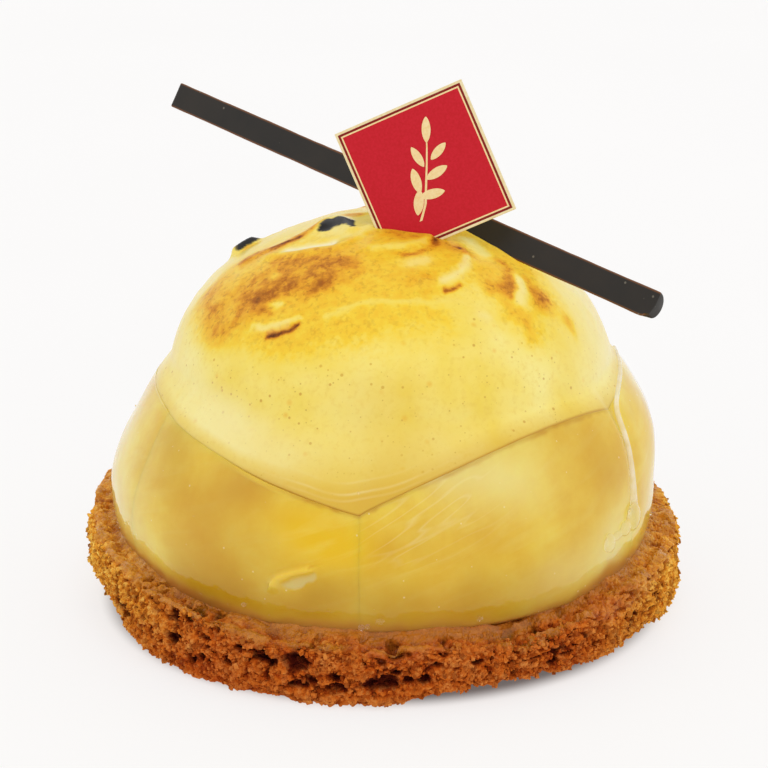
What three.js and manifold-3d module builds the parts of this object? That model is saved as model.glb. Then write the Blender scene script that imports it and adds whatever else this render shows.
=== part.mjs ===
// A pear tart for one: a crumbly biscuit base, six pieces of poached pear standing on it, a dome of
// torched vanilla cream, a chocolate stick lying across the dome and a small square card stuck in it.
// Millimetres, +Z up. The base rests on z = 0, centred on the Z axis, and -Y is the front.
import * as THREE from "three";
import { mergeVertices } from "three/addons/utils/BufferGeometryUtils.js";
import Module from "manifold-3d";

const wasm = await Module();
wasm.setup();

const GAP = 0.3; // clearance between neighbouring pieces

// Biscuit base: a thick round with a bulging, crumbly side and a low, uneven rim round the fruit.
const CRUST_RADIUS = 41.4;
const CRUST_FLAT_RADIUS = 39.2; // the flat underside, where none of the edge has crumbled away
const CRUST_SEAT = 8.0;
const CRUST_SEAT_RADIUS = 38.3;
const CRUST_RIM = 11.8;
const CRUST_BANK = 1.03; // the crumb banks up against the fruit, to this share of the rim's height
const CRUST_SEGMENTS = 180;
const CRUMB_RELIEF = 0.75;
const PIT_DEPTH = 1.2;
const EDGE_LIFT = 0.5; // the lower edge stands this far off the table
const EDGE_CHIPS = [ // places where more of the lower edge is gone: angle, half width, height
  [-160, 16, 2.5],
  [-66, 15, 1.6],
  [-32, 17, 0.9],
  [35, 18, 0.9],
  [95, 16, 1.4],
  [140, 15, 1.0],
];

// Pear pieces: six wedges of one bulging ring, their top edges arched between the seams.
const PEAR_RADIUS = 38.6;
const PEAR_MIDDLE = 16.5;
const PEAR_HALF_HEIGHT = 31;
const PEAR_SHIFT = 1.5; // the upper part of the ring leans a little to the right
const PEAR_INNER_RADIUS = 22;
const PEAR_INNER_TOP = 24;
const SEAM_ANGLES = [-94.6, -28.8, 31, 90, 149.5, 208.8].map((angle) => THREE.MathUtils.degToRad(angle));
const SEAM_TOPS = [24.3, 31.7, 30.5, 30, 30, 31.1]; // height of the pears' edge at each seam
const PEAR_ARCHES = [3.6, 3.0, 2.5, 2.5, 1.5, 0.6]; // how far each pear's edge rises between its seams
const PEARS = SEAM_ANGLES.length;
const SEAM_DENT = 0.8;
const SEAM_WIDTH = 2.4;
const PEAR_SEGMENTS = 14;

// Cream: a dome on the pears, its rim flowing down between their arched edges.
const DOME_RADIUS = 31.2;
const DOME_HEIGHT = 22.8;
const DOME_MIDDLE = 31.7;
const DOME_SHIFT = 1.2; // the dome sits a little to the right
const DOME_ROWS = 16;
const CREAM_RELIEF = 0.35;

// Chocolate stick: flat on one face and round on the other, from its far left end to its near right end.
const STICK_FROM = new THREE.Vector3(-31.1, 31.35, 65.6);
const STICK_TO = new THREE.Vector3(35.0, -20.7, 47.2);
const STICK_FACES = new THREE.Vector3(0, -0.975, 0.22);
const STICK_WIDTH = 3.85;
const STICK_DEPTH = 2.5;
const STICK_EDGE = 0.35;

// Card: a square standing on one corner, leaning back a little.
const CARD_SIDE = 18.6;
const CARD_THICKNESS = 0.6;
const CARD_TWIST = THREE.MathUtils.degToRad(24.9);
const CARD_LEAN = THREE.MathUtils.degToRad(6);
const CARD_TURN = THREE.MathUtils.degToRad(-10);
const CARD_CENTRE = new THREE.Vector3(5.6, -6.1, 61.75);

// Repeatable value from 0 to 1 for a point of the whole-number grid.
function gridValue(i, j, k) {
  let h = Math.imul(i, 374761393) + Math.imul(j, 668265263) + Math.imul(k, 974711);
  h = Math.imul(h ^ (h >>> 13), 1274126177);
  h = Math.imul(h ^ (h >>> 15), 461845907);
  return ((h ^ (h >>> 16)) >>> 0) / 4294967295;
}

// Smooth noise from -1 to 1, with lumps about `size` across.
function noise(x, y, z, size) {
  const cell = [x / size, y / size, z / size].map(Math.floor);
  const part = [x / size, y / size, z / size].map((v, n) => v - cell[n]);
  const ease = part.map((t) => t * t * (3 - 2 * t));
  let sum = 0;
  for (let corner = 0; corner < 8; corner++) {
    const step = [corner & 1, (corner >> 1) & 1, corner >> 2];
    const weight = step.reduce((w, s, n) => w * (s ? ease[n] : 1 - ease[n]), 1);
    sum += weight * gridValue(cell[0] + step[0], cell[1] + step[1], cell[2] + step[2]);
  }
  return 2 * sum - 1;
}

// A closed body turned about Z, with a segment at each of the angles. Each row is a function of the
// angle that gives [radius, height], so a row can rise, fall and swell on its way round.
// The first and last row lie on the axis.
function turned(rows, angles) {
  const profile = rows.map((row) => new THREE.Vector2(...row(angles[0])));
  const geometry = new THREE.LatheGeometry(profile, angles.length);
  const position = geometry.getAttribute("position");
  for (let i = 0; i < position.count; i++) {
    const angle = angles[Math.floor(i / rows.length) % angles.length];
    const [radius, height] = rows[i % rows.length](angle);
    position.setXYZ(i, radius * Math.cos(angle), radius * Math.sin(angle), height);
  }
  return geometry;
}

// `count` even steps from one angle to another, without the last.
function steps(from, to, count) {
  return Array.from({ length: count }, (_, i) => THREE.MathUtils.lerp(from, to, i / count));
}

// A geometry as a solid that can be cut and joined.
function solid(geometry) {
  const bare = geometry.clone();
  bare.deleteAttribute("normal");
  bare.deleteAttribute("uv");
  const merged = mergeVertices(bare, 1e-4);
  const triangles = [];
  const index = merged.index.array;
  for (let i = 0; i < index.length; i += 3) {
    const [a, b, c] = index.slice(i, i + 3);
    if (a !== b && b !== c && c !== a) triangles.push(a, b, c);
  }
  return new wasm.Manifold(
    new wasm.Mesh({
      numProp: 3,
      vertProperties: merged.attributes.position.array,
      triVerts: new Uint32Array(triangles),
    }),
  );
}

function piece(name, body, colour, roughness) {
  const { vertProperties, triVerts } = body.getMesh();
  const geometry = new THREE.BufferGeometry();
  geometry.setAttribute("position", new THREE.BufferAttribute(vertProperties, 3));
  geometry.setIndex(new THREE.BufferAttribute(triVerts, 1));
  geometry.computeVertexNormals();
  const material = new THREE.MeshStandardMaterial({ color: colour, roughness, metalness: 0 });
  const mesh = new THREE.Mesh(geometry, material);
  mesh.name = name;
  return mesh;
}

// Height of the biscuit's rim, low at the front right and high at the back left.
function rimHeight(angle) {
  const once = -1.3 * Math.cos(angle) + 2.1 * Math.sin(angle);
  const twice = 0.8 * Math.cos(2 * angle) - 0.4 * Math.sin(2 * angle);
  return CRUST_RIM + once + twice;
}

// Height of the biscuit's lower edge above the table.
function edgeLift(angle) {
  return EDGE_CHIPS.reduce((lift, [at, half, height]) => {
    const away = THREE.MathUtils.euclideanModulo(THREE.MathUtils.radToDeg(angle) - at + 180, 360) - 180;
    return lift + height * Math.exp(-((away / half) ** 2));
  }, EDGE_LIFT);
}

// Crumb relief at a point of the biscuit's side: lumps, finer lumps and a few deep pits.
function crumb(x, y, z) {
  const lumps = 0.6 * noise(x, y, z, 3.1) + 0.5 * noise(x, y, z, 1.7);
  const pit = THREE.MathUtils.smoothstep(noise(x + 40, y, z, 4.2), 0.42, 0.7);
  return CRUMB_RELIEF * lumps - PIT_DEPTH * pit;
}

// One crumbly row of the biscuit; `height` is a function of the angle.
function crustRow(radius, height, relief) {
  return (angle) => {
    const x = radius * Math.cos(angle);
    const y = radius * Math.sin(angle);
    const z = height(angle);
    return [radius + relief * crumb(x, y, z), z + 0.35 * relief * noise(x, z, y, 2.6)];
  };
}

function crustRows() {
  const flat = (angle) => {
    const radius = CRUST_FLAT_RADIUS - 2.9 * edgeLift(angle);
    return radius + 0.5 * noise(radius * Math.cos(angle), radius * Math.sin(angle), 0, 4);
  };
  const rows = [() => [0, 0], (angle) => [flat(angle) / 2, 0], (angle) => [flat(angle), 0]];
  rows.push((angle) => [THREE.MathUtils.lerp(flat(angle), CRUST_RADIUS - 1.2, 0.65), 0.5 * edgeLift(angle)]);
  // The side swells from its lower edge to its widest at about half of the height.
  const sideRows = 10;
  for (let i = 0; i < sideRows; i++) {
    const share = i / (sideRows - 1);
    const under = 0.9 * Math.max(1 - share / 0.35, 0) ** 2;
    const over = 0.4 * Math.max((share - 0.6) / 0.4, 0) ** 2;
    const height = (angle) => THREE.MathUtils.lerp(edgeLift(angle), 0.97 * rimHeight(angle), share);
    rows.push(crustRow(CRUST_RADIUS - under - over, height, i === 0 ? 0.5 : 1));
  }
  rows.push(crustRow(CRUST_RADIUS - 0.9, rimHeight, 0.6));
  rows.push(crustRow(CRUST_RADIUS - 1.8, (angle) => CRUST_BANK * rimHeight(angle), 0.25));
  rows.push((angle) => [CRUST_SEAT_RADIUS + 0.95, CRUST_BANK * rimHeight(angle) - 0.5]);
  rows.push(() => [CRUST_SEAT_RADIUS, CRUST_SEAT]);
  rows.push(() => [CRUST_SEAT_RADIUS / 2, CRUST_SEAT]);
  rows.push(() => [0, CRUST_SEAT]);
  return rows;
}

// The seam at which a pear ends.
function nextSeam(number) {
  return number + 1 < PEARS ? SEAM_ANGLES[number + 1] : SEAM_ANGLES[0] + 2 * Math.PI;
}

// How far round its pear an angle lies: the pear's number, the share of its width, and that width.
function pearAt(angle) {
  const past = SEAM_ANGLES[0] + THREE.MathUtils.euclideanModulo(angle - SEAM_ANGLES[0], 2 * Math.PI);
  const number = SEAM_ANGLES.findLastIndex((seam) => past >= seam - 1e-9);
  const width = nextSeam(number) - SEAM_ANGLES[number];
  return { number, share: Math.max((past - SEAM_ANGLES[number]) / width, 0), width };
}

// Height of the pears' top edge: a rounded arch between two seams.
function pearTop(angle) {
  const { number, share } = pearAt(angle);
  const base = THREE.MathUtils.lerp(SEAM_TOPS[number], SEAM_TOPS[(number + 1) % PEARS], share);
  return base + PEAR_ARCHES[number] * Math.max(Math.sin(Math.PI * share), 0) ** 0.75;
}

// Radius of the pears' outer face at an angle and a height: an oval bulge, dented along the seams.
function pearRadius(angle, z) {
  const oval = PEAR_RADIUS * Math.sqrt(1 - ((z - PEAR_MIDDLE) / PEAR_HALF_HEIGHT) ** 2);
  const shift = PEAR_SHIFT * THREE.MathUtils.smoothstep(z, 17, 29) * Math.cos(angle);
  const { share, width } = pearAt(angle);
  const fromSeam = Math.min(share, 1 - share) * width * PEAR_RADIUS;
  const dent = SEAM_DENT * Math.exp(-((fromSeam / SEAM_WIDTH) ** 2));
  const lump = 0.25 * noise(oval * Math.cos(angle), oval * Math.sin(angle), z, 9);
  return oval + shift - dent + lump;
}

// Rows of the pear ring, with its top raised by `lift`.
function pearRingRows(lift) {
  const foot = CRUST_SEAT + GAP;
  const rows = [() => [0, foot], () => [PEAR_INNER_RADIUS, foot], () => [PEAR_RADIUS - 2.2, foot]];
  const faceRows = 9;
  for (let i = 0; i < faceRows; i++) {
    rows.push((angle) => {
      const z = THREE.MathUtils.lerp(foot + 0.5, pearTop(angle) - 1.1, i / (faceRows - 1));
      return [pearRadius(angle, z), z];
    });
  }
  rows.push((angle) => [pearRadius(angle, pearTop(angle)) - 0.1, pearTop(angle) - 0.35 + lift]);
  rows.push((angle) => [pearRadius(angle, pearTop(angle)) - 0.9, pearTop(angle) + lift]);
  rows.push(() => [PEAR_INNER_RADIUS, PEAR_INNER_TOP + lift]);
  rows.push(() => [0, PEAR_INNER_TOP + lift]);
  return rows;
}

// The sector of one pear, drawn in by half a gap on both sides.
function pearSector(number) {
  const half = (nextSeam(number) - SEAM_ANGLES[number]) / 2;
  const reach = 80;
  const corner = new THREE.Vector2(GAP / 2 / Math.sin(half), 0);
  const shape = new THREE.Shape();
  shape.moveTo(corner.x, corner.y);
  shape.lineTo(corner.x + reach * Math.cos(half), -reach * Math.sin(half));
  shape.lineTo(corner.x + reach * Math.cos(half), reach * Math.sin(half));
  shape.closePath();
  const geometry = new THREE.ExtrudeGeometry(shape, { depth: 60, bevelEnabled: false });
  geometry.rotateZ(SEAM_ANGLES[number] + half);
  return geometry;
}

// Distance in plan from a point to the line between two others.
function distanceToRidge(x, y, from, to) {
  const along = new THREE.Vector2().subVectors(to, from);
  const share = ((x - from.x) * along.x + (y - from.y) * along.y) / along.lengthSq();
  const near = from.clone().addScaledVector(along, THREE.MathUtils.clamp(share, 0, 1));
  return Math.hypot(x - near.x, y - near.y);
}

// Folds and burnt peaks left on the cream by the palette knife and the torch: ends, height, half width.
const RIDGES = [
  { from: [-20.2, 5.2], to: [-18.2, 5.6], height: 0.9, width: 1.5 },
  { from: [-8.0, -2.6], to: [-4.6, -2.4], height: 0.8, width: 1.6 },
  { from: [-18.0, -4.5], to: [-9.0, -3.0], height: 0.8, width: 1.7 },
  { from: [-15.0, -19.6], to: [-11.4, -21.2], height: 0.8, width: 1.4 },
  { from: [11.2, -7.0], to: [11.2, -13.0], height: 0.8, width: 2.0 },
  { from: [11.2, -13.0], to: [7.0, -18.4], height: 0.8, width: 2.0 },
  { from: [-5.5, -21.0], to: [2.5, -21.8], height: 0.4, width: 1.6 },
].map(({ from, to, height, width }) => ({
  from: new THREE.Vector2(...from),
  to: new THREE.Vector2(...to),
  height,
  width,
}));

function creamRelief(x, y, z) {
  const high = THREE.MathUtils.smoothstep(z, DOME_MIDDLE + 6, DOME_MIDDLE + 14);
  let relief = CREAM_RELIEF * (0.4 + 0.6 * high) * noise(x, y, z, 6.5);
  for (const { from, to, height, width } of RIDGES) {
    relief += high * height * Math.exp(-((distanceToRidge(x, y, from, to) / width) ** 2));
  }
  return relief;
}

// One row of the dome: `lift` is the angle above the dome's widest level.
function domeRow(lift) {
  return (angle) => {
    const fade = Math.cos(lift);
    const shift = DOME_SHIFT * THREE.MathUtils.smoothstep(fade, 0, 0.3);
    const flat = DOME_RADIUS * fade;
    const z = DOME_MIDDLE + DOME_HEIGHT * Math.sin(lift);
    const radius = flat + shift * Math.cos(angle);
    const d = creamRelief(radius * Math.cos(angle), radius * Math.sin(angle), z);
    return [Math.max(radius + d * fade, 0), z + d * Math.sin(lift)];
  };
}

// Rows of the cream's outside, from below the pears' edges to the top of the dome.
function creamRows() {
  const below = PEAR_INNER_TOP - 4;
  const rows = [() => [0, below], () => [PEAR_INNER_RADIUS, below]];
  const edge = (angle) => [pearRadius(angle, pearTop(angle)) - 0.5, pearTop(angle) - 0.4];
  rows.push(edge);
  const firstLift = THREE.MathUtils.degToRad(10);
  const shoulder = domeRow(firstLift);
  const flareRows = 3;
  for (let i = 1; i <= flareRows; i++) {
    const share = i / (flareRows + 1);
    rows.push((angle) => {
      const [r0, z0] = edge(angle);
      const [r1, z1] = shoulder(angle);
      const swell = 0.6 * Math.sin(Math.PI * share);
      return [THREE.MathUtils.lerp(r0, r1, share) + swell, THREE.MathUtils.lerp(z0, z1, share)];
    });
  }
  for (let i = 0; i < DOME_ROWS; i++) {
    const lift = THREE.MathUtils.lerp(firstLift, Math.PI / 2, i / DOME_ROWS);
    rows.push(domeRow(lift));
  }
  const top = DOME_MIDDLE + DOME_HEIGHT + creamRelief(0, 0, DOME_MIDDLE + DOME_HEIGHT);
  rows.push(() => [0, top]);
  return rows;
}

// The stick's section, flat on its front face, grown by `extra` all round.
function stick(extra) {
  const half = STICK_WIDTH / 2 + extra;
  const back = STICK_DEPTH + extra;
  const edge = STICK_EDGE;
  const shape = new THREE.Shape();
  shape.moveTo(-half + edge, extra);
  shape.lineTo(half - edge, extra);
  shape.lineTo(half, extra - edge);
  shape.bezierCurveTo(half, -0.75 * back, 0.6 * half, -back, 0, -back);
  shape.bezierCurveTo(-0.6 * half, -back, -half, -0.75 * back, -half, extra - edge);
  shape.closePath();
  const length = STICK_FROM.distanceTo(STICK_TO) + 2 * extra;
  const geometry = new THREE.ExtrudeGeometry(shape, { depth: length, bevelEnabled: false, curveSegments: 8 });
  geometry.translate(0, 0, -extra);
  const along = new THREE.Vector3().subVectors(STICK_TO, STICK_FROM).normalize();
  const across = new THREE.Vector3().crossVectors(STICK_FACES, along).normalize();
  const face = new THREE.Vector3().crossVectors(along, across);
  geometry.applyMatrix4(new THREE.Matrix4().makeBasis(across, face, along).setPosition(STICK_FROM));
  return solid(geometry);
}

function card(extra) {
  const side = CARD_SIDE + 2 * extra;
  const geometry = new THREE.BoxGeometry(side, side, CARD_THICKNESS + 2 * extra);
  geometry.rotateZ(CARD_TWIST);
  geometry.rotateX(Math.PI / 2 - CARD_LEAN);
  geometry.rotateZ(CARD_TURN);
  geometry.translate(CARD_CENTRE.x, CARD_CENTRE.y, CARD_CENTRE.z);
  return solid(geometry);
}

const tart = new THREE.Group();
tart.name = "pear_tart";

// The crumb relief pulls the base a little to one side, so its outline is brought back to the axis.
const crustGeometry = turned(crustRows(), steps(0, 2 * Math.PI, CRUST_SEGMENTS));
crustGeometry.computeBoundingBox();
const crustCentre = crustGeometry.boundingBox.getCenter(new THREE.Vector3());
crustGeometry.translate(-crustCentre.x, -crustCentre.y, 0);
tart.add(piece("crust", solid(crustGeometry), "#b8752f", 0.9));

// Each pear has the same number of segments, so that the seams fall between two of them.
const fruitAngles = SEAM_ANGLES.flatMap((seam, number) => steps(seam, nextSeam(number), PEAR_SEGMENTS));
const pearRing = solid(turned(pearRingRows(0), fruitAngles));
for (let number = 0; number < PEARS; number++) {
  const pear = pearRing.intersect(solid(pearSector(number)));
  tart.add(piece(`pear_${number + 1}`, pear, "#d9b24c", 0.25));
}

const dome = solid(turned(creamRows(), fruitAngles));
const pearBed = solid(turned(pearRingRows(GAP), fruitAngles));
const cream = dome.subtract(pearBed).subtract(stick(GAP)).subtract(card(GAP));
tart.add(piece("cream", cream, "#f2d868", 0.35));

tart.add(piece("chocolate_stick", stick(0), "#3b372f", 0.5));
tart.add(piece("card", card(0), "#c32234", 0.4));

export default tart;
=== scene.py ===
# %% [markdown]
# A pear tart for one: a crumbly biscuit base, a ring of poached pear under clear glaze, a dome of
# torched vanilla cream, a chocolate stick and a small square card.
# The CAD model already gives every piece its true size and place. This script dresses it: it makes
# the crumb, the fruit, the scorch marks, the glaze and the print, all in the same frame.

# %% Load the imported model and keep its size
import math

import bpy
import numpy as np
from mathutils import Matrix, Vector


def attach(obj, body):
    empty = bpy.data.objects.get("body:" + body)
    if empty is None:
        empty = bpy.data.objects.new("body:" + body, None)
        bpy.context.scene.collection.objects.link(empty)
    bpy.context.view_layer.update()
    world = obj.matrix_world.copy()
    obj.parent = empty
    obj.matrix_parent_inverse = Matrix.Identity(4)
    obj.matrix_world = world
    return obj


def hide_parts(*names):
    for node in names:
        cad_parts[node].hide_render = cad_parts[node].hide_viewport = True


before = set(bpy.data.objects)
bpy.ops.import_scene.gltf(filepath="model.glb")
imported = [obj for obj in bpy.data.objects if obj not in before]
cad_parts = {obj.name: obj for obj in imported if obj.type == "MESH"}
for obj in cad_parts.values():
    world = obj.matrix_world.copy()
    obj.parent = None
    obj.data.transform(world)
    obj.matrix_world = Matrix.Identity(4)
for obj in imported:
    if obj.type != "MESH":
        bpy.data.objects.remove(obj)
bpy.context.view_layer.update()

print("CAD nodes:", sorted(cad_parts))

# %% [markdown]
# A pastry is measured in millimetres and Blender works in metres, so the shapes below are worked out
# in millimetres and scaled once, when the points are put into a mesh.
# Operators act on everything that is selected, so each step first selects only its own piece.

# %% Selecting pieces and moving their points
MM = 0.001
WELD = 0.002  # points nearer to each other than this, in millimetres, become one


def only(*pieces):
    """Select these pieces and nothing else, with the first one active."""
    bpy.ops.object.select_all(action="DESELECT")
    for piece in pieces:
        piece.select_set(True)
    if pieces:
        bpy.context.view_layer.objects.active = pieces[0]


def points(piece):
    """The piece's vertices in millimetres, one row each."""
    flat = np.empty(len(piece.data.vertices) * 3, np.float32)
    piece.data.vertices.foreach_get("co", flat)
    return flat.reshape(-1, 3).astype(float) / MM


def normals(piece):
    """The outward direction at each vertex."""
    flat = np.empty(len(piece.data.vertices) * 3, np.float32)
    piece.data.vertices.foreach_get("normal", flat)
    return flat.reshape(-1, 3).astype(float)


def put(piece, xyz):
    """Move the piece's vertices to these places, given in millimetres."""
    piece.data.vertices.foreach_set("co", (np.asarray(xyz) * MM).astype(np.float32).ravel())
    piece.data.update()


def paint(piece, name, values):
    """Keep one number for each vertex, for the materials to read."""
    layer = piece.data.attributes.new(name, "FLOAT", "POINT")
    layer.data.foreach_set("value", np.asarray(values, np.float32))


def closed(piece):
    """Weld the seams and poles of a piece, turn its faces outwards and shade it smooth."""
    only(piece)
    bpy.ops.object.mode_set(mode="EDIT")
    bpy.ops.mesh.select_all(action="SELECT")
    bpy.ops.mesh.remove_doubles(threshold=WELD * MM)
    bpy.ops.mesh.fill_holes(sides=0)
    bpy.ops.mesh.select_all(action="SELECT")
    bpy.ops.mesh.normals_make_consistent(inside=False)
    bpy.ops.object.mode_set(mode="OBJECT")
    bpy.ops.object.shade_smooth()


def say(piece):
    """Print the size of a finished piece."""
    xyz = points(piece)
    triangles = sum(len(p.vertices) - 2 for p in piece.data.polygons)
    print(piece.name, triangles, "triangles, box", xyz.min(0).round(1), xyz.max(0).round(1))


def finish_piece(piece, slot, *nodes):
    """Let a finished piece ride on the tart and stand for its CAD nodes, which are hidden. The slot is not
    used.
    """
    only(piece)
    bpy.ops.object.transform_apply(location=True, rotation=True, scale=True)
    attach(piece, "root")
    if nodes:
        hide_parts(*nodes)
    say(piece)


print("helpers ready, one unit is", MM, "m")

# %% [markdown]
# Baked and cooked surfaces are never even. Two kinds of noise give almost all of their lumps:
# smooth noise, for swellings and stains, and grain noise, the distance to the nearest of many
# scattered centres, for things that are built of separate crumbs.
# Both are written out here, so the same lumps come back on every run.

# %% Lumps and grains
def cell_value(cell, seed):
    """A repeatable number from 0 to 1 for each cell of a whole-number grid."""
    n = cell[..., 0] * 374761393 + cell[..., 1] * 668265263 + cell[..., 2] * 974711 + seed * 69069
    n = n & 0xFFFFFFFF
    n = ((n ^ (n >> 13)) * 1274126177) & 0xFFFFFFFF
    n = ((n ^ (n >> 15)) * 461845907) & 0xFFFFFFFF
    return (n ^ (n >> 16)) / 0xFFFFFFFF


def lumps(xyz, size, seed=0):
    """Smooth noise from -1 to 1, with lumps about `size` millimetres across."""
    at = np.asarray(xyz) / size
    cell = np.floor(at).astype(np.int64)
    ease = at - cell
    ease = ease * ease * (3 - 2 * ease)
    total = np.zeros(len(at))
    for corner in np.ndindex(2, 2, 2):
        corner = np.array(corner)
        weight = np.where(corner == 1, ease, 1 - ease).prod(-1)
        total += weight * cell_value(cell + corner, seed)
    return 2 * total - 1


def grains(xyz, size, seed=0):
    """Distances to the two nearest grain centres as shares of `size`, and the nearest one's number."""
    at = np.asarray(xyz) / size
    cell = np.floor(at).astype(np.int64)
    nearest, second, own = np.full(len(at), 9.0), np.full(len(at), 9.0), np.zeros(len(at))
    for step in np.ndindex(3, 3, 3):
        there = cell + np.array(step) - 1
        centre = there + np.stack([cell_value(there, seed + k) for k in (1, 2, 3)], -1)
        far = np.linalg.norm(at - centre, axis=-1)
        closer = far < nearest
        second = np.where(closer, nearest, np.minimum(second, far))
        nearest = np.where(closer, far, nearest)
        own = np.where(closer, cell_value(there, seed + 4), own)
    return nearest, second, own


def soft(value, low, high):
    """0 on low's side, 1 on high's side and a smooth rise between."""
    t = np.clip((value - low) / (high - low), 0, 1)
    return t * t * (3 - 2 * t)


def spot(xyz, centre, radius):
    """1 at the centre, fading to 0 at about twice the radius."""
    return np.exp(-(((xyz - np.array(centre)) / radius) ** 2).sum(-1))


def from_line(xy, line):
    """Distance from each point to a bent line, and the side: above 0 to the line's left."""
    best, side = np.full(len(xy), 1e9), np.zeros(len(xy))
    for a, b in zip(np.array(line[:-1], float), np.array(line[1:], float)):
        along = b - a
        share = np.clip(((xy - a) @ along) / (along @ along), 0, 1)
        off = xy - (a + share[:, None] * along)
        far = np.hypot(off[:, 0], off[:, 1])
        nearer = far < best
        best = np.where(nearer, far, best)
        side = np.where(nearer, np.sign(along[0] * off[:, 1] - along[1] * off[:, 0]), side)
    return best, side


def strokes(xy, marks):
    """The sum of soft brush strokes. Each is a bent line, its half width and its strength."""
    total = np.zeros(len(xy))
    for line, width, strength in marks:
        far = from_line(xy, line if len(line) > 1 else [line[0], np.add(line[0], 0.01)])[0]
        total += strength * np.exp(-((far / width) ** 2))
    return total


print("lumps go down to", lumps(np.random.default_rng(1).random((500, 3)) * 40, 3).min().round(2))

# %% [markdown]
# Most of the tart is round, so most pieces start as a flat grid that is bent round the middle.
# Each row of the grid is told its radius and height at every angle, as on a potter's wheel whose
# profile changes while it turns. That leaves even, well-shaped faces for the fine relief.

# %% Bending a grid round the tart
def bent_grid(name, rows, steps, start=0.0, end=2 * math.pi):
    """A grid bent about the upright axis. Each row is a function of the angle: radius, height."""
    only()
    bpy.ops.mesh.primitive_grid_add(x_subdivisions=steps, y_subdivisions=len(rows) - 1, size=1.0)
    piece = bpy.context.object
    piece.name = piece.data.name = name
    flat = points(piece) * MM + 0.5
    angle = start + flat[:, 0] * (end - start)
    row = np.rint(flat[:, 1] * (len(rows) - 1)).astype(int)
    radius, height = np.zeros(len(angle)), np.zeros(len(angle))
    for n, shape in enumerate(rows):
        here = row == n
        radius[here], height[here] = shape(angle[here])
    put(piece, np.stack([radius * np.cos(angle), radius * np.sin(angle), height], -1))
    closed(piece)
    return piece


def level_row(radius, height):
    """A plain round row."""
    return lambda angle: (np.full(len(angle), radius), np.full(len(angle), height))


def around(xyz):
    """The angle of each point about the upright axis."""
    return np.arctan2(xyz[:, 1], xyz[:, 0])


def degrees_from(angle, place):
    """How far each angle is from a place given in degrees, from -180 to 180."""
    return (np.degrees(angle) - place + 180) % 360 - 180


def bell(angle, place, half):
    """1 at a place given in degrees, fading on both sides of it over about `half` degrees."""
    return np.exp(-((degrees_from(angle, place) / half) ** 2))


def on_ring(angle, radius):
    """Points on a level ring, to read noise that only changes round the tart."""
    return np.stack([radius * np.cos(angle), radius * np.sin(angle), 0 * angle], -1)


print("the front of the tart is at", math.degrees(-math.pi / 2), "degrees")

# %% [markdown]
# The camera stands close to the tart, about thirty centimetres away and a little above it, with a
# long lens. It was set by matching the tart's outline, the stick and the card in the photograph.

# %% Camera
CAMERA_PLACE = Vector((0.11, -285.96, 120.77)) * MM
CAMERA_AIM = Vector((0.11, 0.0, 30.06)) * MM
LENS_MM = 100.0
SENSOR_MM = 36.0
NEAREST = 0.01  # metres; what is nearer isn't drawn

only()
bpy.ops.object.camera_add(location=CAMERA_PLACE)
camera = bpy.context.object
camera.rotation_euler = (CAMERA_AIM - CAMERA_PLACE).to_track_quat("-Z", "Y").to_euler()
camera.data.lens = LENS_MM
camera.data.sensor_width = SENSOR_MM
camera.data.clip_start = NEAREST
bpy.context.scene.camera = camera
print("camera distance", round((CAMERA_AIM - CAMERA_PLACE).length, 3), "m")

# %% [markdown]
# Materials are trees of nodes. One function adds a node, and a few short ones on top of it name what
# is asked for most: a noise, a ramp of colours, a stretched number, a wash of colour over another.
# Colours are written as they are read off a screen and turned into linear light in one place.

# %% Colours and one way to add nodes
def linear(hex_colour):
    """An sRGB colour such as "#c62334" as the linear numbers that a shader takes."""
    values = [int(hex_colour[n:n + 2], 16) / 255 for n in (1, 3, 5)]
    return [v / 12.92 if v <= 0.04045 else ((v + 0.055) / 1.055) ** 2.4 for v in values] + [1.0]


def set_sockets(tree, node, sockets):
    """Give each named socket a number or a colour, or link another node's output to it."""
    for name, value in sockets.items():
        if isinstance(value, bpy.types.NodeSocket):
            tree.links.new(value, node.inputs[name])
        else:
            node.inputs[name].default_value = value


def add(tree, kind, sockets=None, stops=None, **settings):
    """Add a node with its settings, sockets and colour stops."""
    node = tree.nodes.new("ShaderNode" + kind)
    for name, value in settings.items():
        setattr(node, name, value)
    set_sockets(tree, node, sockets or {})
    if stops:
        ramp = node.color_ramp.elements
        while len(ramp) < len(stops):
            ramp.new(1.0)
        for element, (place, colour) in zip(ramp, stops):
            element.position = place
            element.color = linear(colour)
    return node


def start_material(name):
    """A new material, with its node tree and its main shader."""
    material = bpy.data.materials.new(name)
    material.use_nodes = True
    return material, material.node_tree, material.node_tree.nodes["Principled BSDF"]


def object_place(tree):
    """Where a point is on the piece, in metres."""
    return add(tree, "TexCoord").outputs["Object"]


def attribute(tree, name):
    """The number that `paint` kept on the mesh under this name."""
    return add(tree, "Attribute", attribute_name=name).outputs["Fac"]


def noise(tree, place, size, **sockets):
    """Smooth noise with lumps about `size` across, in the unit of the place."""
    return add(tree, "TexNoise", {"Vector": place, "Scale": 1 / size, **sockets}).outputs["Fac"]


def cells(tree, place, size):
    """Distance to the nearest of many scattered centres, and a chance number for each centre."""
    scatter = add(tree, "TexVoronoi", {"Vector": place, "Scale": 1 / size})
    number = add(tree, "SeparateColor", {"Color": scatter.outputs["Color"]}).outputs[0]
    return scatter.outputs["Distance"], number


def bump(tree, height, strength, deep):
    """The normal of a surface with this fine relief, `deep` in metres."""
    return add(tree, "Bump", {"Height": height, "Strength": strength, "Distance": deep}).outputs["Normal"]


def shades(tree, share, *stops):
    """A ramp of colours, each with its place from 0 to 1."""
    return add(tree, "ValToRGB", {"Fac": share}, stops).outputs["Color"]


def stretch(tree, value, low, high, top=1.0, bottom=0.0):
    """`bottom` where the value is `low`, `top` where it is `high` and an even change between."""
    return add(tree, "MapRange", {"Value": value, "From Min": low, "From Max": high,
                                  "To Min": bottom, "To Max": top}).outputs["Result"]


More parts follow.
